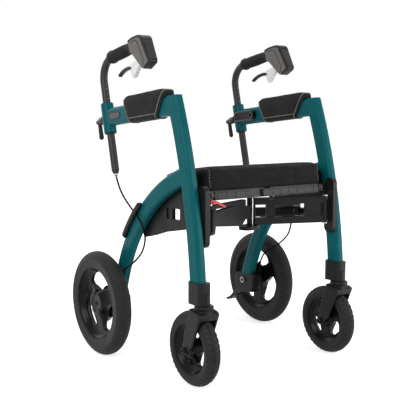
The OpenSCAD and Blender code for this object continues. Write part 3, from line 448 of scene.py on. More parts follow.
def turned(side, name, profile, origin, axis, slot, body, count=48, start=OUT, **more):
    """A piece of (radius, along) points turned about an axis; ends with radius 0 close it."""
    a = np.array(axis, float)
    a /= np.linalg.norm(a)
    u = np.array(start, float)
    u -= a * (u @ a)
    u /= np.linalg.norm(u)
    v = np.cross(a, u)
    verts = [origin + a * h + r * (c * u + s * v) for r, h in profile for c, s in circle(count)]
    return piece(side, name, verts, grid_faces(len(profile), count), slot, body, **more)


def tube(path, radius, sides=12, closed=False):
    """A round tube along points; open ends are capped."""
    p = np.array(path, float)
    way = np.roll(p, -1, 0) - np.roll(p, 1, 0) if closed else np.gradient(p, axis=0)
    way /= np.linalg.norm(way, axis=1)[:, None]
    side = np.cross(way[0], ASKEW)
    verts = []
    for at, along in zip(p, way):
        side = side - along * (side @ along)
        side /= np.linalg.norm(side)
        up = np.cross(along, side)
        verts += [at + radius * (c * side + s * up) for c, s in circle(sides)]
    if closed:
        return verts, grid_faces(len(p), sides, close_rows=True)
    return verts, capped_grid(len(p), sides)


def spline(points, steps):
    """A smooth curve through points."""
    p = [np.array(q, float) for q in points]
    out = []
    for i in range(len(p) - 1):
        a, b, c, d = p[max(i - 1, 0)], p[i], p[i + 1], p[min(i + 2, len(p) - 1)]
        for k in range(steps):
            t = k / steps
            out.append(0.5 * (2 * b + t * (c - a) + t * t * (2 * a - 5 * b + 4 * c - d)
                              + t ** 3 * (3 * b - a - 3 * c + d)))
    return out + [p[-1]]


def plate_on(at, outline, depth):
    """A plate that stands out from a face; at(a, b, c) places a point, c out from the face."""
    verts = [at(a, b, c) for c in (0, depth) for a, b in outline]
    return verts, capped_grid(2, len(outline))


def band_on(at, outer, inner, depth):
    """A raised band between two outlines of as many points."""
    loops = ((outer, 0), (outer, depth), (inner, depth), (inner, 0))
    verts = [at(a, b, c) for outline, c in loops for a, b in outline]
    return verts, grid_faces(len(loops), len(outer), close_rows=True)


def pill(half_l, half_h, steps=10):
    """An outline with straight sides and round ends."""
    arc = np.linspace(-math.pi / 2, math.pi / 2, steps)
    end = [(half_l - half_h + half_h * math.cos(a), half_h * math.sin(a)) for a in arc]
    return end + [(-x, -y) for x, y in end]


# places on the right side, in each part's own directions

def handle_at(along, back=0, x=0):
    """Up along the handle tube, and back from it."""
    s, c = math.sin(HANDLE_LEAN), math.cos(HANDLE_LEAN)
    y = HANDLE_FOOT[0] + along * s + back * c
    return np.array((FRAME_X + x, y, HANDLE_FOOT[1] + along * c - back * s))


def grip_at(f, u, x=0):
    """Forward along the grip, and up from it."""
    s, c = math.sin(GRIP_RISE), math.cos(GRIP_RISE)
    return handle_at(CORNER_L) + np.array((x, -f * c + u * s, f * s + u * c))


def arm_at(t, z, x=0):
    """Back along the arm, and up from it."""
    s, c = math.sin(ARM_FALL), math.cos(ARM_FALL)
    return np.array((FRAME_X + x, ARM_FOOT[0] + t * c + z * s, ARM_FOOT[1] - t * s + z * c))


def seat_at(x, y, z):
    """Across, back and up on the sloping seat."""
    s, c = math.sin(SEAT_FALL), math.cos(SEAT_FALL)
    return np.array((x, SEAT_AT[0] + y * c + z * s, SEAT_AT[1] - y * s + z * c))


def on_wheel(axle, r, x, way):
    """A radius along a direction of the wheel's plane, and x out."""
    return (axle[0] + x, axle[1] + r * way[0], axle[2] + r * way[1])


HANDLE_WAY = handle_at(1) - handle_at(0)
HANDLE_BACK = handle_at(0, 1) - handle_at(0)
GRIP_WAY = grip_at(1, 0) - grip_at(0, 0)
SEAT_FRONT = (0, -0.9914, 0.1305)


# tyres

# half the tread's arc, and rows of points on a wall and on half the tread
TREAD_EDGE = math.radians(58)
WALL_ROWS = 7
TREAD_ROWS = 15
# shares of the tread's half width where blocks and shoulder cuts end, and the cuts' depth
BLOCKS_END = 0.98
SHOULDER_END = 1.3
SHOULDER_CUT = 0.55
# shares of a block: step from row to row, sweep to the sides, half the gap between rows
ROW_STEP = 0.5
BLOCK_SWEEP = 0.35
ROW_GAP = 0.14
TREAD_SINK = 0.02
# a wall's rib: height in mm, place and width in degrees
WALL_RIB = (0.5, 80, 3)
# below the bead: a step down and in, then heights over the flange with steps in
LIP_START = (5, 0.4)
LIP = ((7, 1.2), (3.2, 1.5), (2.6, 2.4), (0.6, 3), (0, 5), (0.5, 10))
REAR_TYRE = dict(axle=REAR_AXLE, radius=148, width=46, bead=119, flange=101,
                 blocks=104, per_block=6, rows=7, groove=0.34, depth=1.3)
FRONT_TYRE = dict(axle=FRONT_AXLE, radius=96, width=40, bead=71, flange=64,
                  blocks=38, per_block=10, rows=3, groove=0.26, depth=1.9)


def tread_cut(across, u, rows, groove, depth):
    """How deep the tread is cut, across from -1 to 1 and u blocks round."""
    if abs(across) < BLOCKS_END:
        lane = (across + 1) / 2 * rows
        row = int(lane)
        cell = (u + ROW_STEP * (row % 2) + BLOCK_SWEEP * abs(across)) % 1
        edge = min(lane - row, row + 1 - lane)
        between = edge < ROW_GAP and 0 < round(lane) < rows
        return depth if cell < groove or between else 0
    shoulder = abs(across) < SHOULDER_END and (u + BLOCK_SWEEP) % 1 < groove
    return depth * SHOULDER_CUT if shoulder else 0


def tyre(axle, radius, width, bead, flange, blocks, per_block, rows, groove, depth):
    """A tyre with rows of tread blocks, and walls that reach down to the flange."""
    half = width / 2
    centre_r = radius - half
    bead_angle = math.acos((bead - centre_r) / half)
    wall = even(-bead_angle, -TREAD_EDGE, WALL_ROWS)[:-1]
    tread = [TREAD_EDGE * s for s in even(-1, 1, 2 * TREAD_ROWS)]
    ways = circle(blocks * per_block)
    verts = []
    for a in wall + tread + [-a for a in wall[::-1]]:
        rib = swelling(abs(math.degrees(a)), *WALL_RIB)
        for j, way in enumerate(ways):
            cut = tread_cut(a / TREAD_EDGE, j / per_block, rows, groove, depth)
            r = half - cut + rib - depth * TREAD_SINK
            verts.append(on_wheel(axle, centre_r + r * math.cos(a), r * math.sin(a), way))
    side_x = half * math.sin(bead_angle)
    lip = [(bead - LIP_START[0], side_x - LIP_START[1])]
    lip += [(flange + up, side_x - inward) for up, inward in LIP]
    for r, x in lip + [(r, -x) for r, x in lip[::-1]]:
        verts += [on_wheel(axle, r, x, way) for way in ways]
    return verts, grid_faces(len(verts) // len(ways), len(ways), close_rows=True)


# rims

SPOKES = 3
SPOKE_ANGLE = math.pi / SPOKES
SPOKE_COLUMNS = 40
RIM_TURN = math.pi
# steps of the radius
HUB_STEPS, WINDOW_STEPS, FLANGE_STEPS = 16, 22, 7
# the sunk centre, and the edge groove's depth, place and width
HUB_SINK = 2.6
HUB_GROOVE = (0.8, 0.86, 0.07)
# a window's ends as a share of its length and a power, and its flare outwards
WINDOW_NECK = (0.5, 0.5)
WINDOW_CROWN = (0.28, 0.42)
WINDOW_FLARE = 0.14
# powers, and depths in mm, of dish, edges, hollow and outer rim
DISH_POWER = 2.2
EDGE_POWER = 5
EDGE_DROP = 3
SPOKE_HOLLOW = 1.2
RIM_POWER = 1.3
# the inner face is flatter
INNER_SHARE = 0.55
INNER_DEPTH = 5
REAR_RIM = dict(axle=REAR_AXLE, bore=6.1, hub_r=24, open_r0=32, open_r1=90, flange=101, seat_r=118.5,
                half_w=14.5, hub_face=16.5, dish=4, window=math.radians(42))
FRONT_RIM = dict(axle=FRONT_AXLE, bore=5.1, hub_r=15.5, open_r0=21, open_r1=53, flange=64, seat_r=70.6,
                 half_w=12.5, hub_face=20, dish=4, window=math.radians(34))


def rim(axle, bore, hub_r, open_r0, open_r1, flange, seat_r, half_w, hub_face, dish, window):
    """A three-spoke wheel: dished spokes between a deep rim and a raised hub."""
    radii = sorted({*even(bore, hub_r, HUB_STEPS), (hub_r + open_r0) / 2, seat_r,
                    *even(open_r0, open_r1, WINDOW_STEPS), *even(open_r1, flange, FLANGE_STEPS)})

    def half_angle(r):
        """Half a spoke's angle: a third of a half turn, or what the windows leave."""
        t = (r - open_r0) / (open_r1 - open_r0)
        if t <= 0 or t >= 1:
            return SPOKE_ANGLE
        neck = min(1, (t / WINDOW_NECK[0]) ** WINDOW_NECK[1])
        crown = min(1, ((1 - t) / WINDOW_CROWN[0]) ** WINDOW_CROWN[1])
        return SPOKE_ANGLE - window * (neck * crown) * (1 - WINDOW_FLARE + WINDOW_FLARE * t)

    def outer_face(r, s):
        """How far the outer face stands out, s across the spoke from -1 to 1."""
        if r < hub_r:
            k = r / hub_r
            return hub_face - HUB_SINK * (1 - k * k) - swelling(k, *HUB_GROOVE)
        if r > open_r1:
            return dish + (half_w - dish) * min(1, (r - open_r1) / (flange - open_r1)) ** RIM_POWER
        t = max(0, (r - open_r0) / (open_r1 - open_r0))
        level = hub_face + (dish - hub_face) * (1 - (1 - t) ** DISH_POWER)
        hollow = SPOKE_HOLLOW * (1 - s * s) * math.sin(math.pi * t)
        return level - EDGE_DROP * abs(s) ** EDGE_POWER - hollow

    def inner_face(r, s):
        z = outer_face(r, s)
        return -(z * INNER_SHARE + INNER_DEPTH) if r < open_r1 else -z

    rows, cols = len(radii), SPOKE_COLUMNS + 1
    layer = rows * cols
    across = even(-1, 1, SPOKE_COLUMNS)
    sheet = grid_faces(rows, cols, close_cols=False)
    verts, faces = [], []
    for spoke in range(SPOKES):
        start = len(verts)
        mid = RIM_TURN + spoke * TAU / SPOKES
        for face in (outer_face, inner_face):
            for r in radii:
                for s in across:
                    a = mid + s * half_angle(r)
                    verts.append(on_wheel(axle, r, face(r, s), (math.sin(a), math.cos(a))))
        faces += [tuple(first + k for k in f) for first in (start, start + layer) for f in sheet]
        for i in range(rows - 1):
            if min(half_angle(radii[i]), half_angle(radii[i + 1])) < SPOKE_ANGLE - TINY:
                for k in (start + i * cols, start + i * cols + SPOKE_COLUMNS):
                    faces.append((k, k + cols, k + cols + layer, k + layer))
        for i in (0, rows - 1):
            for k in range(start + i * cols, start + i * cols + SPOKE_COLUMNS):
                faces.append((k, k + 1, k + 1 + layer, k + layer))
    return verts, faces


def wheels(side):
    for end, sizes in (("rear", REAR_TYRE), ("front", FRONT_TYRE)):
        obj = piece(side, f"{end}_tyre_tread", *tyre(**sizes), "tyre_rubber", f"{end}_wheel", crease=50)
        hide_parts(f"{side}_{end}_tyre")
    for end, sizes in (("rear", REAR_RIM), ("front", FRONT_RIM)):
        obj = piece(side, f"{end}_wheel_rim", *rim(**sizes), "rim_plastic", f"{end}_wheel", crease=48)
        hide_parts(f"{side}_{end}_rim")


# grips

GRIP_BORE = 11.4
GRIP_R = 15.6
GRIP_SWELL = 1.5
GRIP_SWELL_PACE = 1.15
# thumb collar: height, place and width
GRIP_COLLAR = (2.6, 9, 7.5)
GRIP_MOUTH = ((15.5, 0), (17.4, 1.2))
GRIP_MARGIN = 2
GRIP_END_R = 14.5
GRIP_END = GRIP_L - 0.6
GRIP_ROWS = 96
RINGS_FROM, RINGS_TO = 24, 104
RING_EVERY = 3
RING_DEPTH = 0.85


def grip_profile():
    """Radii along the grip: a collar, a slow swell and cut rings."""
    profile = [(GRIP_BORE, 0), *GRIP_MOUTH]
    for k, h in enumerate(even(GRIP_MARGIN, GRIP_L - GRIP_MARGIN, GRIP_ROWS)):
        swell = GRIP_R + GRIP_SWELL * math.sin(math.pi * min(1, h / GRIP_L * GRIP_SWELL_PACE))
        cut = RING_DEPTH if RINGS_FROM < h < RINGS_TO and k % RING_EVERY == 0 else 0
        profile.append((swell + swelling(h, *GRIP_COLLAR) - cut, h))
    return profile + [(GRIP_END_R, GRIP_END), (GRIP_BORE, GRIP_END), (GRIP_BORE, 0)]


def grips(side):
    obj = turned(side, "grip_ribbed", grip_profile(), grip_at(GRIP_START, 0), GRIP_WAY, "grip_rubber",
                 "handle", count=56, crease=60)
    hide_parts(f"{side}_grip")


# brake housings

# outlines as (forward, up) of the grip
HOUSING = ((179, -14), (179, 14.5), (186, 16.5), (200, 18), (222, 17.4), (236, 16), (242.5, 12), (246, 6),
           (257, -25), (268, -55), (267, -60), (262, -63), (238, -71.5), (231, -70.5), (226, -67), (208, -45),
           (191, -24), (183, -17))
HOUSING_WRAP = ((179, 15.4), (200, 19), (222, 18.6), (236.6, 17), (244.5, 11.5), (248, 5), (270, -55.4),
                (268.5, -61.5), (262.8, -64.6), (238.4, -73.2), (240, -65), (258.5, -58.5), (261, -55.5),
                (240.5, 4), (238, 9), (233, 12), (221, 13.6), (200, 14), (179, 11))
HOUSING_GROOVE = ((193, 6.5), (208, 8.5), (219, 6), (226, -4), (238, -38), (241, -48), (238, -57), (233, -62))
HOUSING_TOP, HOUSING_FOOT = 18, -72
# half width at the foot, and how much more at the top
HALF_AT_FOOT, HALF_MORE = 12, 6
CORE_IN, WRAP_OUT, GROOVE_IN = 0.8, 0.5, 0.7
GROOVE_R = 0.75
PANEL_ROWS = 8
PANEL_FOOT = -54
PANEL_FRONT = 249.836
PANEL_SLOPE = -0.364
PANEL_MARGIN = 3.4
# shares of the half width, and how far the panel stands out
PANEL_RING = ((-1, 0.6), (-0.86, 2.1), (0.86, 2.1), (1, 0.6), (1, -1.5), (0.86, -1.5), (-0.86, -1.5),
              (-1, -1.5))


def housing_half(u):
    return HALF_AT_FOOT + HALF_MORE * (u - HOUSING_FOOT) / (HOUSING_TOP - HOUSING_FOOT)


def shell(outline, halves):
    """A closed plate with its half width at each point of the outline."""
    verts = [grip_at(f, u, x * half) for x in (1, -1) for (f, u), half in zip(outline, halves)]
    return verts, capped_grid(2, len(outline))


def panel_form():
    """The front panel as rings: a raised middle with sloping flanks on a flat back."""
    verts = []
    for u in np.linspace(0, PANEL_FOOT, PANEL_ROWS):
        f = PANEL_FRONT + u * PANEL_SLOPE
        half = housing_half(u) - PANEL_MARGIN
        verts += [grip_at(f + rise, u, x * half) for x, rise in PANEL_RING]
    n = len(PANEL_RING)
    ends = [(k + a, k + a + 1, k + n - 2 - a, k + n - 1 - a) for k in (0, n * (PANEL_ROWS - 1))
            for a in range(n // 2 - 1)]
    return verts, grid_faces(PANEL_ROWS, n) + ends


def housings(side):
    """Grey cheeks with a groove each, a black wrap over top and front, and a glossy front panel."""
    core = shell(HOUSING, [housing_half(u) - CORE_IN for _, u in HOUSING])
    obj = piece(side, "housing_core", *core, "housing", "handle", bevel=1.6, crease=40)
    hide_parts(f"{side}_brake_housing")
    wrap = shell(HOUSING_WRAP, [housing_half(u) + WRAP_OUT for _, u in HOUSING_WRAP])
    piece(side, "housing_wrap", *wrap, "black_plastic", "handle", bevel=1.3, crease=30)
    piece(side, "housing_panel", *panel_form(), "gloss_black", "handle", bevel=0.8, crease=30)
    for x, tag in ((1, "out"), (-1, "in")):
        line = spline(HOUSING_GROOVE, steps=5)
        path = [grip_at(f, u, x * (housing_half(u) - GROOVE_IN)) for f, u in line]
        piece(side, f"housing_groove_{tag}", *tube(path, GROOVE_R, sides=8), "black_plastic", "handle")


# brake levers

LEVER_BODY = ((214, -37), (190, -40), (170, -43), (161, -46.5), (159, -52), (163, -66), (166, -76),
              (169, -81), (175, -81.5), (182, -76), (203, -60), (219, -49), (225, -44), (221, -38))
LEVER_HALF = 6.3
BLADE_START = 170
BLADE_L = 79
# middle and radius of the top's arc, and how far below it the blade lies
BLADE_MID = (140, -150)
BLADE_R = 105
BLADE_SINK = 0.4
# thickness and half width: at the start, the loss to the end, and at the tip
BLADE_THICK, BLADE_THINNER = 10.5, 3
BLADE_HALF, BLADE_NARROWER = 6.6, 1
BLADE_TIP = (4.2, 3.6)
BLADE_POWERS = (0.5, 0.55)
BLADE_ROWS, BLADE_SIDES = 24, 16


def blade_form():
    """The finger blade, bent along an arc and slimmer at its tip."""
    verts = []
    for k in range(BLADE_ROWS + 1):
        t = k / BLADE_ROWS
        f = BLADE_START - BLADE_L * t
        rise = math.sqrt(BLADE_R ** 2 - (f - BLADE_MID[0]) ** 2)
        slope = -(f - BLADE_MID[0]) / rise
        top = BLADE_MID[1] + rise - BLADE_SINK
        thick, half = BLADE_THICK - BLADE_THINNER * t, BLADE_HALF - BLADE_NARROWER * t
        if k == BLADE_ROWS:
            thick, half = BLADE_TIP
        for c, s in circle(BLADE_SIDES):
            d = thick / 2 * (squared(s, BLADE_POWERS[1]) - 1)
            verts.append(grip_at(f - slope * d, top + d, half * squared(c, BLADE_POWERS[0])))
    return verts, capped_grid(BLADE_ROWS + 1, BLADE_SIDES)


def levers(side):
    lever = shell(LEVER_BODY, [LEVER_HALF] * len(LEVER_BODY))
    obj = piece(side, "lever_body", *lever, "lever_alloy", "brake", bevel=1.8, crease=40)
    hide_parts(f"{side}_brake_lever")
    piece(side, "lever_blade", *blade_form(), "black_plastic", "brake", crease=60)


# handle tubes

# profiles as (radius, along)
MARK_PROFILE = ((0, 0.35), (1.3, 0.35), (1.8, 0), (1.8, -0.6), (0, -0.6))
MARK_START, MARK_STEP, MARK_COUNT = 97, 14, 4
MARK_BACK = -10.8
FERRULE = ((0, -126.5), (2.9, -126.5), (3.1, -123), (4.5, -122), (4.5, -117.8), (3.9, -117.2), (0, -117.2))
# name, place along the handle, axis, points round it, closed profile
COLLARS = (("sleeve_collar", 0, HANDLE_WAY, 48,
            ((11.15, 83.05), (17.2, 83.05), (17.2, 84.6), (16.2, 85.4), (11.15, 85.4), (11.15, 83.05))),
           ("sleeve_foot", 0, HANDLE_WAY, 48,
            ((11.15, -0.05), (16.8, -0.05), (16.8, -2.4), (15.6, -3.2), (11.15, -3.2), (11.15, -0.05))),
           ("clamp_collar", 44, HANDLE_BACK, 40,
            ((10.05, 17), (13.4, 17), (13.4, 20.5), (11.2, 22), (11.2, 44.6), (10.6, 45.6),
             (10.05, 45.6), (10.05, 17))))


def tube_details(side):
    """Height marks, the tube's steel end fitting, and collars on sleeve and clamp."""
    for k in range(MARK_COUNT):
        at = handle_at(MARK_START + MARK_STEP * k, MARK_BACK)
        turned(side, f"height_mark_{k + 1}", MARK_PROFILE, at, -HANDLE_BACK, "tube_finish", "handle",
               count=20, look="height_mark")
    turned(side, "cable_ferrule", FERRULE, handle_at(0), HANDLE_WAY, "steel", "handle", count=28, bevel=0.3)
    for name, along, axis, count, profile in COLLARS:
        turned(side, name, profile, handle_at(along), axis, "black_plastic", "frame", count)


# arms

# places out from the arm's middle, and along it
BADGE_X, SOCKET_X = 13, -24
BADGE_T, BAND_T = 262, 270
# half lengths and half heights, and depths
BAND_OUTER, BAND_INNER, BAND_DEPTH = (46, 16.4), (41, 11.4), 2.6
BADGE_RIM, BADGE_RIM_DEPTH = (31, 10), 0.9
BADGE_FIELD, BADGE_FIELD_DEPTH = (28, 7.6), 1.5
# ring and button: place along the arm and profile
SOCKET_RINGS = ((238, ((5.2, -0.2), (9.6, -0.2), (9.6, 1), (8.6, 2), (6, 2), (5.2, 1.2), (5.2, -0.2))),
                (302, ((0, 1.2), (2.4, 1.2), (2.6, 2.2), (4.2, 2.2), (5, 1.4), (5.2, 0), (5.2, -0.3),
                       (0, -0.3))))


def socket_face(a, b, c):
    return arm_at(BAND_T + a, b, SOCKET_X - c)


def badge_face(a, b, c):
    return arm_at(BADGE_T + a, b, BADGE_X + c)


def arm_details(side):
    """A band, a ring and a button at the accessory socket, and a bare badge outside."""
    band = band_on(socket_face, pill(*BAND_OUTER), pill(*BAND_INNER), BAND_DEPTH)
    piece(side, "accessory_band", *band, "gloss_black", "frame", bevel=0.9)
    badge_rim = plate_on(badge_face, pill(*BADGE_RIM), BADGE_RIM_DEPTH)
    piece(side, "badge_frame", *badge_rim, "black_plastic", "frame", bevel=0.4)
    field = plate_on(badge_face, pill(*BADGE_FIELD), BADGE_FIELD_DEPTH)
    piece(side, "badge_plate", *field, None, "frame", look="badge_plate", bevel=0.4)
    for k, (t, profile) in enumerate(SOCKET_RINGS):
        turned(side, f"accessory_ring_{k + 1}", profile, arm_at(t, 0, SOCKET_X), IN, "gloss_black", "frame",
               count=32, start=UP)


# arm pads

PAD_T0, PAD_T1 = 24, 190
PAD_HALF = 14.6
PAD_TOP = 28.5
PAD_FOOT = 26.2
# lean of the ends per mm of height
PAD_LEAN = (-0.68, 0.46)
PAD_POWER = 0.45
# full padding to the sides and up, and its share at the top's edges
PAD_OUT, PAD_UP, PAD_EDGE = 9, 19, 0.4
# length of each end's rounding, and the padding's share at the very end
PAD_FRONT_L, PAD_BACK_L, PAD_END = 34, 22, 0.15
# shares and paces of the waves along the pad
PAD_WAVES = ((-0.03, math.pi), (0.008, 17), (0.006, 31))
PAD_ROWS, PAD_SIDES = 56, 64
PAD_LINING = -0.02
PIPING_ENDS = (("front", 0.05), ("back", 0.975))
PIPING_RISE, PIPING_R = 0.02, 1.5
PAD_SEAM = -15
PAD_SEAM_R = 1.2


def pad_at(k, z, x):
    """k along the pad from 0 to 1, z up and x out."""
    t = PAD_T0 + (PAD_T1 - PAD_T0) * k
    lean = PAD_LEAN[0] + (PAD_LEAN[1] - PAD_LEAN[0]) * k
    return arm_at(t + lean * z, z, x)


def pad_ring(k, full, sides=PAD_SIDES):
    """A ring round the arm: soft corners, a crowned top and a flatter foot."""
    half = PAD_HALF + full * PAD_OUT
    ring = []
    for c, s in circle(sides):
        top = PAD_TOP + full * PAD_UP * (PAD_EDGE + (1 - PAD_EDGE) * abs(s))
        lift = top if s > 0 else PAD_FOOT + full
        ring.append(pad_at(k, lift * squared(s, PAD_POWER), half * squared(c, PAD_POWER)))
    return ring


def pad_fullness(k):
    """How far the padding stands out: rounded ends, the back one blunter, and soft waves."""
    ends = []
    for away, length in ((k, PAD_FRONT_L), (1 - k, PAD_BACK_L)):
        near = 1 - min(1, (PAD_T1 - PAD_T0) * away / length)
        ends.append(PAD_END + (1 - PAD_END) * math.sqrt(1 - near ** 2))
    return min(ends) * (1 + sum(share * math.sin(pace * k) for share, pace in PAD_WAVES))


def pad_seam(flank):
    """The sewn line along one flank, from piping to piping."""
    path = []
    for k in np.linspace(PIPING_ENDS[0][1], PIPING_ENDS[1][1], 30):
        full = pad_fullness(k)
        s = (-PAD_SEAM / (PAD_FOOT + full)) ** (1 / PAD_POWER)
        x = (PAD_HALF + full * PAD_OUT) * math.sqrt(1 - s * s) ** PAD_POWER
        path.append(pad_at(k, PAD_SEAM, flank * x))
    return path


def pads(side):
    steps = [0.5 - 0.5 * math.cos(math.pi * k) for k in even(0, 1, PAD_ROWS - 1)]
    verts = [q for k in steps for q in pad_ring(k, pad_fullness(k))]
    verts += [q for k in (1, 0) for q in pad_ring(k, PAD_LINING)]
    faces = grid_faces(PAD_ROWS + 2, PAD_SIDES, close_rows=True)
    obj = piece(side, "arm_pad_cover", verts, faces, "pad_cover", "frame", crease=70)
    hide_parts(f"{side}_arm_pad")
    for tag, k in PIPING_ENDS:
        cord = tube(pad_ring(k, pad_fullness(k) + PIPING_RISE, sides=72), PIPING_R, sides=10, closed=True)
        piece(side, f"pad_piping_{tag}", *cord, "pad_cover", "frame", look="piping_cord")
    for tag, flank in (("outer", 1), ("inner", -1)):
        cord = tube(pad_seam(flank), PAD_SEAM_R, sides=10)
        piece(side, f"pad_seam_{tag}", *cord, "pad_cover", "frame", look="piping_cord")


# seat cushion

SEAT_HALF_W = 203
SEAT_DEPTH = 203
SEAT_Y0 = -6
SEAT_MID_Y = SEAT_DEPTH / 2 + SEAT_Y0
CUSHION_LOW = 11.2
CUSHION_H = 55
CUSHION_CROWN = 6
CUSHION_POWERS = (0.15, 0.17)
CUSHION_POINTS = 160
# from foot to top: step in, share of the height, share of the crown
CUSHION_PROFILE = ((16, 0, 0), (5, 0.01, 0), (1.6, 0.05, 0), (0.6, 0.13, 0), (1, 0.26, 0), (2, 0.42, 0),
                   (2.3, 0.56, 0), (1.6, 0.7, 0), (0.7, 0.82, 0), (0.7, 0.9, 0), (2.2, 0.965, 0),
                   (5, 0.995, 0.05), (9, 1, 0.18), (16, 1, 0.36), (26, 1, 0.55), (40, 1, 0.76),
                   (58, 1, 0.92), (78, 1, 1))
# voxel and greatest puff in metres
CUSHION_VOXEL = 0.0045
PUFF_LIMIT = 0.0035
PUFF_PRESSURE, PUFF_FRAMES, PUFF_QUALITY = 3, 20, 6
# the seams' place, width and depth
SEAM_X, SEAM_W, SEAM_DEPTH = 184, 3.2, 1.5
# where the ends, the top and the front's face begin
END_Y = 85
TOP_Z = CUSHION_LOW + CUSHION_H / 2 + 24
FACE_Y = 4
# lengths, bend and depth of the waves
WAVE_X, WAVE_BEND_Z, WAVE_Z, WAVE_Y = 23, 17, 31, 47
WAVE_BEND, WAVE_DEPTH = 1.3, 0.4
# half the gap between the halves, in metres
HALF_GAP = 0.00002
# stitches: place beside the seam, pitch, thread radius, and the arch as (along, up)
STITCH_BESIDE, STITCH_PITCH, STITCH_R = 3, 6.2, 0.55
STITCH_ARCH = ((0.6, -0.3), (1.2, 0.35), (2.6, 0.5), (4, 0.35), (4.6, -0.3))
# rays that find the cover: number, height of their aim, box they start from
STITCH_RAYS, STITCH_Z, STITCH_BOX = 180, 14, (130, 75)


def cushion_form():
    """One closed mesh: square plan, soft corners, crowned top, sides that pull in."""
    verts = []
    for inset, t, crown in CUSHION_PROFILE:
        for c, s in circle(CUSHION_POINTS, shift=0.5):
            x = (SEAT_HALF_W - inset) * squared(c, CUSHION_POWERS[0])
            y = SEAT_MID_Y + (SEAT_DEPTH / 2 - inset) * squared(s, CUSHION_POWERS[1])
            verts.append((x, y, CUSHION_LOW + t * CUSHION_H + CUSHION_CROWN * crown))
    return verts, capped_grid(len(CUSHION_PROFILE), CUSHION_POINTS)


def puff(obj):
    """Blows the cover out with cloth, but no point further than a limit."""
    scene = bpy.context.scene
    rest = np.array([v.co for v in obj.data.vertices], float)
    mod = obj.modifiers.new("cloth", "CLOTH")
    mod.settings.use_pressure = True
    mod.settings.uniform_pressure_force = PUFF_PRESSURE
    mod.settings.effector_weights.gravity = 0
    mod.settings.quality = PUFF_QUALITY
    for f in range(1, PUFF_FRAMES + 1):
        scene.frame_set(f)
    graph = bpy.context.evaluated_depsgraph_get()
    moved = np.array([v.co for v in obj.evaluated_get(graph).data.vertices], float)
    obj.modifiers.remove(mod)
    scene.frame_set(1)
    step = moved - rest
    size = np.linalg.norm(step, axis=1)[:, None]
    rest = rest + step * np.minimum(1, PUFF_LIMIT / np.maximum(size, 1e-9))
    obj.data.vertices.foreach_set("co", rest.ravel())


def cushion_surface():
    """The puffed cushion's points in mm, and its faces."""
    blank = placed("cushion_blank", mesh_of("cushion_blank", *cushion_form()), (0, 0, 0))
    blank.data = voxel_solid(blank, CUSHION_VOXEL)
    puff(blank)
    points = np.array([v.co for v in blank.data.vertices], float) / MM
    faces = [tuple(p.vertices) for p in blank.data.polygons]
    bpy.data.objects.remove(blank)
    return points, faces


def sewn(co):
    """Pulls the cover in at both seams and lays slight waves on front and top."""
    groove = np.exp(-((np.abs(co[:, 0]) - SEAM_X) / SEAM_W) ** 2)
    inward = np.sign(SEAT_MID_Y - co[:, 1]) * (np.abs(co[:, 1] - SEAT_MID_Y) > END_Y)
    pull = np.stack([np.zeros(len(co)), inward, -1 * (co[:, 2] > TOP_Z)], 1)
    co = co + pull * groove[:, None] * SEAM_DEPTH
    x, y, z = co.T.copy()
    wave = np.sin(x / WAVE_X + WAVE_BEND * np.sin(z / WAVE_BEND_Z)) * np.sin(z / WAVE_Z + y / WAVE_Y)
    co[:, 1] += wave * (y < FACE_Y) * WAVE_DEPTH
    co[:, 2] += wave * (z > TOP_Z) * WAVE_DEPTH
    co[:, 2] = np.maximum(co[:, 2], CUSHION_LOW)
    return co


def stitch_ground(mesh, sx):
    """Places and normals beside a seam, up the front, over the top and down the back."""
    tree = BVHTree.FromPolygons([v.co for v in mesh.vertices], [tuple(p.vertices) for p in mesh.polygons])
    seam = sx * (SEAM_X + STITCH_BESIDE)
    centre = seat_at(seam, SEAT_MID_Y, STITCH_Z) * MM
    ground = []
    for k in range(STITCH_RAYS):
        a = math.pi * (k + 0.5) / STITCH_RAYS - math.pi
        c, s = math.cos(a), -math.sin(a)
        reach = 1 / max(abs(c) / STITCH_BOX[0], abs(s) / STITCH_BOX[1])
        p = seat_at(seam, SEAT_MID_Y + c * reach, STITCH_Z + s * reach) * MM
        place, normal, _, _ = tree.ray_cast(Vector(p), Vector(centre - p).normalized())
        if place is not None:
            ground.append((np.array(place) / MM, np.array(normal)))
    return ground


def add_stitches(mesh, sx):
    """Thread stitches beside the seam, as the cover's second material."""
    ground = stitch_ground(mesh, sx)
    spots = ground[:1]
    run = 0
    for (last, _), (q, normal) in zip(ground[:-1], ground[1:]):
        run += np.linalg.norm(q - last)
        if run > STITCH_PITCH:
            spots.append((q, normal))
            run = 0
    bm = bmesh.new()
    bm.from_mesh(mesh)
    for (q, normal), (after, _) in zip(spots[:-1], spots[1:]):
        way = (after - q) / np.linalg.norm(after - q)
        verts, faces = tube([q + way * s + normal * h for s, h in STITCH_ARCH], STITCH_R, sides=6)
        made = [bm.verts.new(Vector(v * MM)) for v in verts]
        for f in faces:
            bm.faces.new([made[i] for i in f]).material_index = 1
    bm.to_mesh(mesh)
    bm.free()


def cushion_half(name, co, faces, sx):
    """One side of the cushion, closed at the cut."""
    half = mesh_of(name, co, faces)
    bm = bmesh.new()
    bm.from_mesh(half)
    whole = bm.verts[:] + bm.edges[:] + bm.faces[:]
    cut = bmesh.ops.bisect_plane(bm, geom=whole, plane_co=(sx * HALF_GAP, 0, 0), plane_no=(-sx, 0, 0),
                                 clear_outer=True)
    bmesh.ops.contextual_create(bm, geom=[e for e in cut["geom_cut"] if isinstance(e, bmesh.types.BMEdge)])
    bm.to_mesh(half)
    bm.free()
    for look in ("seat_cover", "stitch_thread"):
        half.materials.append(FINISH[look])
    return half


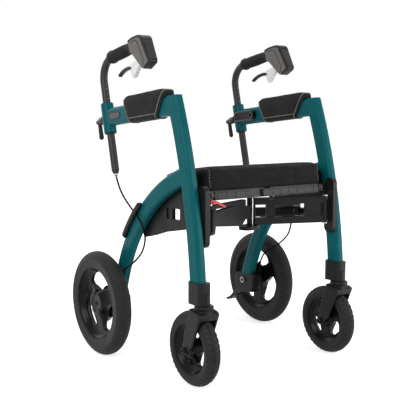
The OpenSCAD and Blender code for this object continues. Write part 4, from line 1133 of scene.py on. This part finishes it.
def cushions():
    points, faces = cushion_surface()
    co = np.array([seat_at(*q) for q in sewn(points)])
    for side, sx in SIDES.items():
        half = cushion_half(f"{side}_cushion_half", co, faces, sx)
        add_stitches(half, sx)
        obj = settle(f"{side}_seat_cushion_cover", half, f"{side}_seat", crease=60)
        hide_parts(f"{side}_seat_cushion")
        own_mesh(obj)


# cables

CABLE_ROUTE = ((240, 161.44, 505.28), (240.5, 157, 498), (242, 139, 473), (246, 108, 450), (253, 63, 428),
               (260, 19, 410), (261.5, -9, 389), (261.5, -23, 363), (262, -23, 341), (263, -11, 316),
               (264, 12, 294), (265, 40, 275), (266, 72, 257), (266, 103, 238), (266, 124, 206))
CABLE_D = 5
CABLE_STEPS = 7


def cables(side):
    path = np.array(spline(CABLE_ROUTE, CABLE_STEPS))
    path[:, 0] *= SIDES[side]
    mesh = mesh_of(f"{side}_cable", *tube(path, CABLE_D / 2, sides=14))
    mesh.materials.append(FINISH["cable_sheath"])
    obj = settle(f"{side}_cable", mesh, None)
    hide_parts(f"{side}_brake_cable")
    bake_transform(obj)


# cable strip on the rear leg: middle, radii and ends of its arc, and its width
STRIP_MID = (-323, 69)
STRIP_R = (489.5, 505)
STRIP_ARC = (math.radians(33.2), math.radians(48.8))
STRIP_X = (252.8, 264.6)
STRIP_POWER = 0.6
STRIP_ROWS, STRIP_SIDES = 40, 24
# rows of an end's rounding, and the size's share at the very end
STRIP_END_ROWS, STRIP_END = 3, 0.45


def clips(side):
    mid_r, half_r = (STRIP_R[0] + STRIP_R[1]) / 2, (STRIP_R[1] - STRIP_R[0]) / 2
    half_x = (STRIP_X[1] - STRIP_X[0]) / 2
    verts = []
    for k in even(0, 1, STRIP_ROWS - 1):
        a = STRIP_ARC[0] + (STRIP_ARC[1] - STRIP_ARC[0]) * k
        end = min(1, min(k, 1 - k) * (STRIP_ROWS - 1) / STRIP_END_ROWS)
        size = STRIP_END + (1 - STRIP_END) * math.sqrt(1 - (1 - end) ** 2)
        for c, s in circle(STRIP_SIDES):
            x = STRIP_X[0] + half_x * (1 + squared(c, STRIP_POWER)) * size
            r = mid_r + size * half_r * squared(s, STRIP_POWER)
            verts.append((x, STRIP_MID[0] + r * math.cos(a), STRIP_MID[1] + r * math.sin(a)))
    faces = capped_grid(STRIP_ROWS, STRIP_SIDES)
    obj = piece(side, "cable_strip", verts, faces, "black_plastic", "frame", crease=60)
    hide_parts(f"{side}_cable_clip")


# fasteners

# name, body, place, direction, radius, skirt, slot, domed nut or not
SCREWS = (("socket_screw", "frame", (257, -233, 254), OUT, 3.4, 0.4, "gloss_black", False),
          ("front_axle_cap_out", "caster", (271, *FRONT_AXLE[1:]), OUT, 7.9, 3.8, "black_plastic", False),
          ("front_axle_cap_in", "caster", (201, *FRONT_AXLE[1:]), IN, 7.9, 3.8, "black_plastic", False),
          ("rear_axle_cap_out", "frame", (309, *REAR_AXLE[1:]), OUT, 9.4, 2, "black_plastic", False),
          ("rear_axle_nut", "frame", (220, *REAR_AXLE[1:]), IN, 6.4, 0.4, "gloss_black", True),
          ("seat_pivot_cap", "frame", (190, -222.6, 479.6), SEAT_FRONT, 5, 1.6, "gloss_black", True))
# shares of the radius, the hole's floor in mm, and shares where edges are broken
NUT_RISE, HEAD_RISE, HEAD_FLAT, HEAD_HOLE = 0.62, 0.42, 0.82, 0.45
HOLE_FLOOR = 0.1
HOLE_WIDER, HOLE_EDGE, HEAD_EDGE = 1.2, 0.92, 0.6
SCREW_START = (0, 0.6, 0.8)


def screw_profile(radius, skirt, domed):
    """A screw head with a hole, or a domed nut, and a skirt over what it caps."""
    if domed:
        arc = np.linspace(0, math.pi / 2, 8)
        profile = [(radius * math.sin(a), radius * NUT_RISE * math.cos(a)) for a in arc]
    else:
        hole, high = radius * HEAD_HOLE, radius * HEAD_RISE
        profile = [(0, HOLE_FLOOR), (hole, HOLE_FLOOR), (hole, high * HOLE_EDGE), (hole * HOLE_WIDER, high),
                   (radius * HEAD_FLAT, high), (radius, high * HEAD_EDGE)]
    return profile + [(radius, -skirt)]


def fasteners(side):
    for name, body, at, way, radius, skirt, slot, domed in SCREWS:
        turned(side, name, screw_profile(radius, skirt, domed), at, way, slot, body, count=24,
               start=SCREW_START, crease=50)


# seat bar

BAR_FACE = -4
# each half's ends of the beads, and the places of its ribs
BAR_RUNS = {"right": (-18, 178, (10, 40, 70, 100, 130, 160)), "left": (66, 178, (80, 110, 140, 170))}
BEADS = (("top", 5.6), ("low", -10.6))
BEAD_R = 1
RIB_HALF, RIB_LOW, RIB_TOP, RIB_OUT = 0.9, -9.5, 4.5, 0.8


def bar_face(x, z, out):
    return seat_at(x, BAR_FACE - out, z)


def bar_details(side):
    """Two long beads and short upright ribs on the bar's front."""
    x0, x1, ribs = BAR_RUNS[side]
    for tag, z in BEADS:
        path = [bar_face(x, z, 0) for x in np.linspace(x0, x1, 6)]
        piece(side, f"bar_bead_{tag}", *tube(path, BEAD_R, sides=10), "seat_plastic", "seat")
    for k, x in enumerate(ribs):
        low, high = x - RIB_HALF, x + RIB_HALF
        outline = ((low, RIB_LOW), (high, RIB_LOW), (high, RIB_TOP), (low, RIB_TOP))
        rib = plate_on(bar_face, outline, RIB_OUT)
        piece(side, f"bar_rib_{k + 1}", *rib, "seat_plastic", "seat", bevel=0.3)


# CAD nodes

# the width in mm of the rounded edges of nodes that stay
BEVELS = {"caster_socket": 1.2, "gusset_panel": 1, "hinge_bracket": 1, "accessory_socket": 1.8,
          "seat_board": 0.8, "brake_drum": 1, "steel_pins": 0.5, "front_axle": 0.8, "clamp_lever": 0.8,
          "front_left_arm": 1.2, "front_right_arm": 1.2, "rear_left_arm": 1.2, "rear_right_arm": 1.2,
          "knee_foot": 1.5, "release_lever": 1.2, "arm": 1.2, "front_leg": 1.2}
NODE_CREASE = 28
# nodes that a rounded form replaces: kind, body, turns of smoothing; the voxel is in metres
ROUNDED = (("caster_fork", "caster", 26), ("axle_bracket", "frame", 10))
ROUNDED_VOXEL = 0.0013


def dress_nodes():
    for entry in frame["record"]["subparts"]:
        name = entry["node"]
        obj = nodes[name]
        obj.data.materials.clear()
        obj.data.materials.append(FINISH[entry["material_slot"]])
        shade_smooth(obj.data, NODE_CREASE)
        kind = name.split("_", 1)[1] if name.startswith(("left_", "right_")) else name
        if kind in BEVELS:
            soften(obj, BEVELS[kind])


def rounded_forms(side):
    """A node's copy in voxels, smoothed, in place of the sharp node."""
    for kind, body, turns in ROUNDED:
        node = nodes[f"{side}_{kind}"]
        blank = placed("blank", node.data.copy(), (0, 0, 0))
        blank.matrix_world = node.matrix_world
        form = voxel_solid(blank, ROUNDED_VOXEL, turns)
        form.transform(node.matrix_world)
        bpy.data.objects.remove(blank)
        form.materials.clear()
        form.materials.append(FINISH["black_plastic"])
        obj = settle(f"{side}_{kind}_form", form, f"{side}_{body}", crease=80)
        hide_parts(f"{side}_{kind}")


set_stage()
dress_nodes()
for build in (cables, clips, fasteners, bar_details, rounded_forms, wheels, grips, housings, levers,
              tube_details, arm_details, pads):
    for side in SIDES:
        build(side)
cushions()
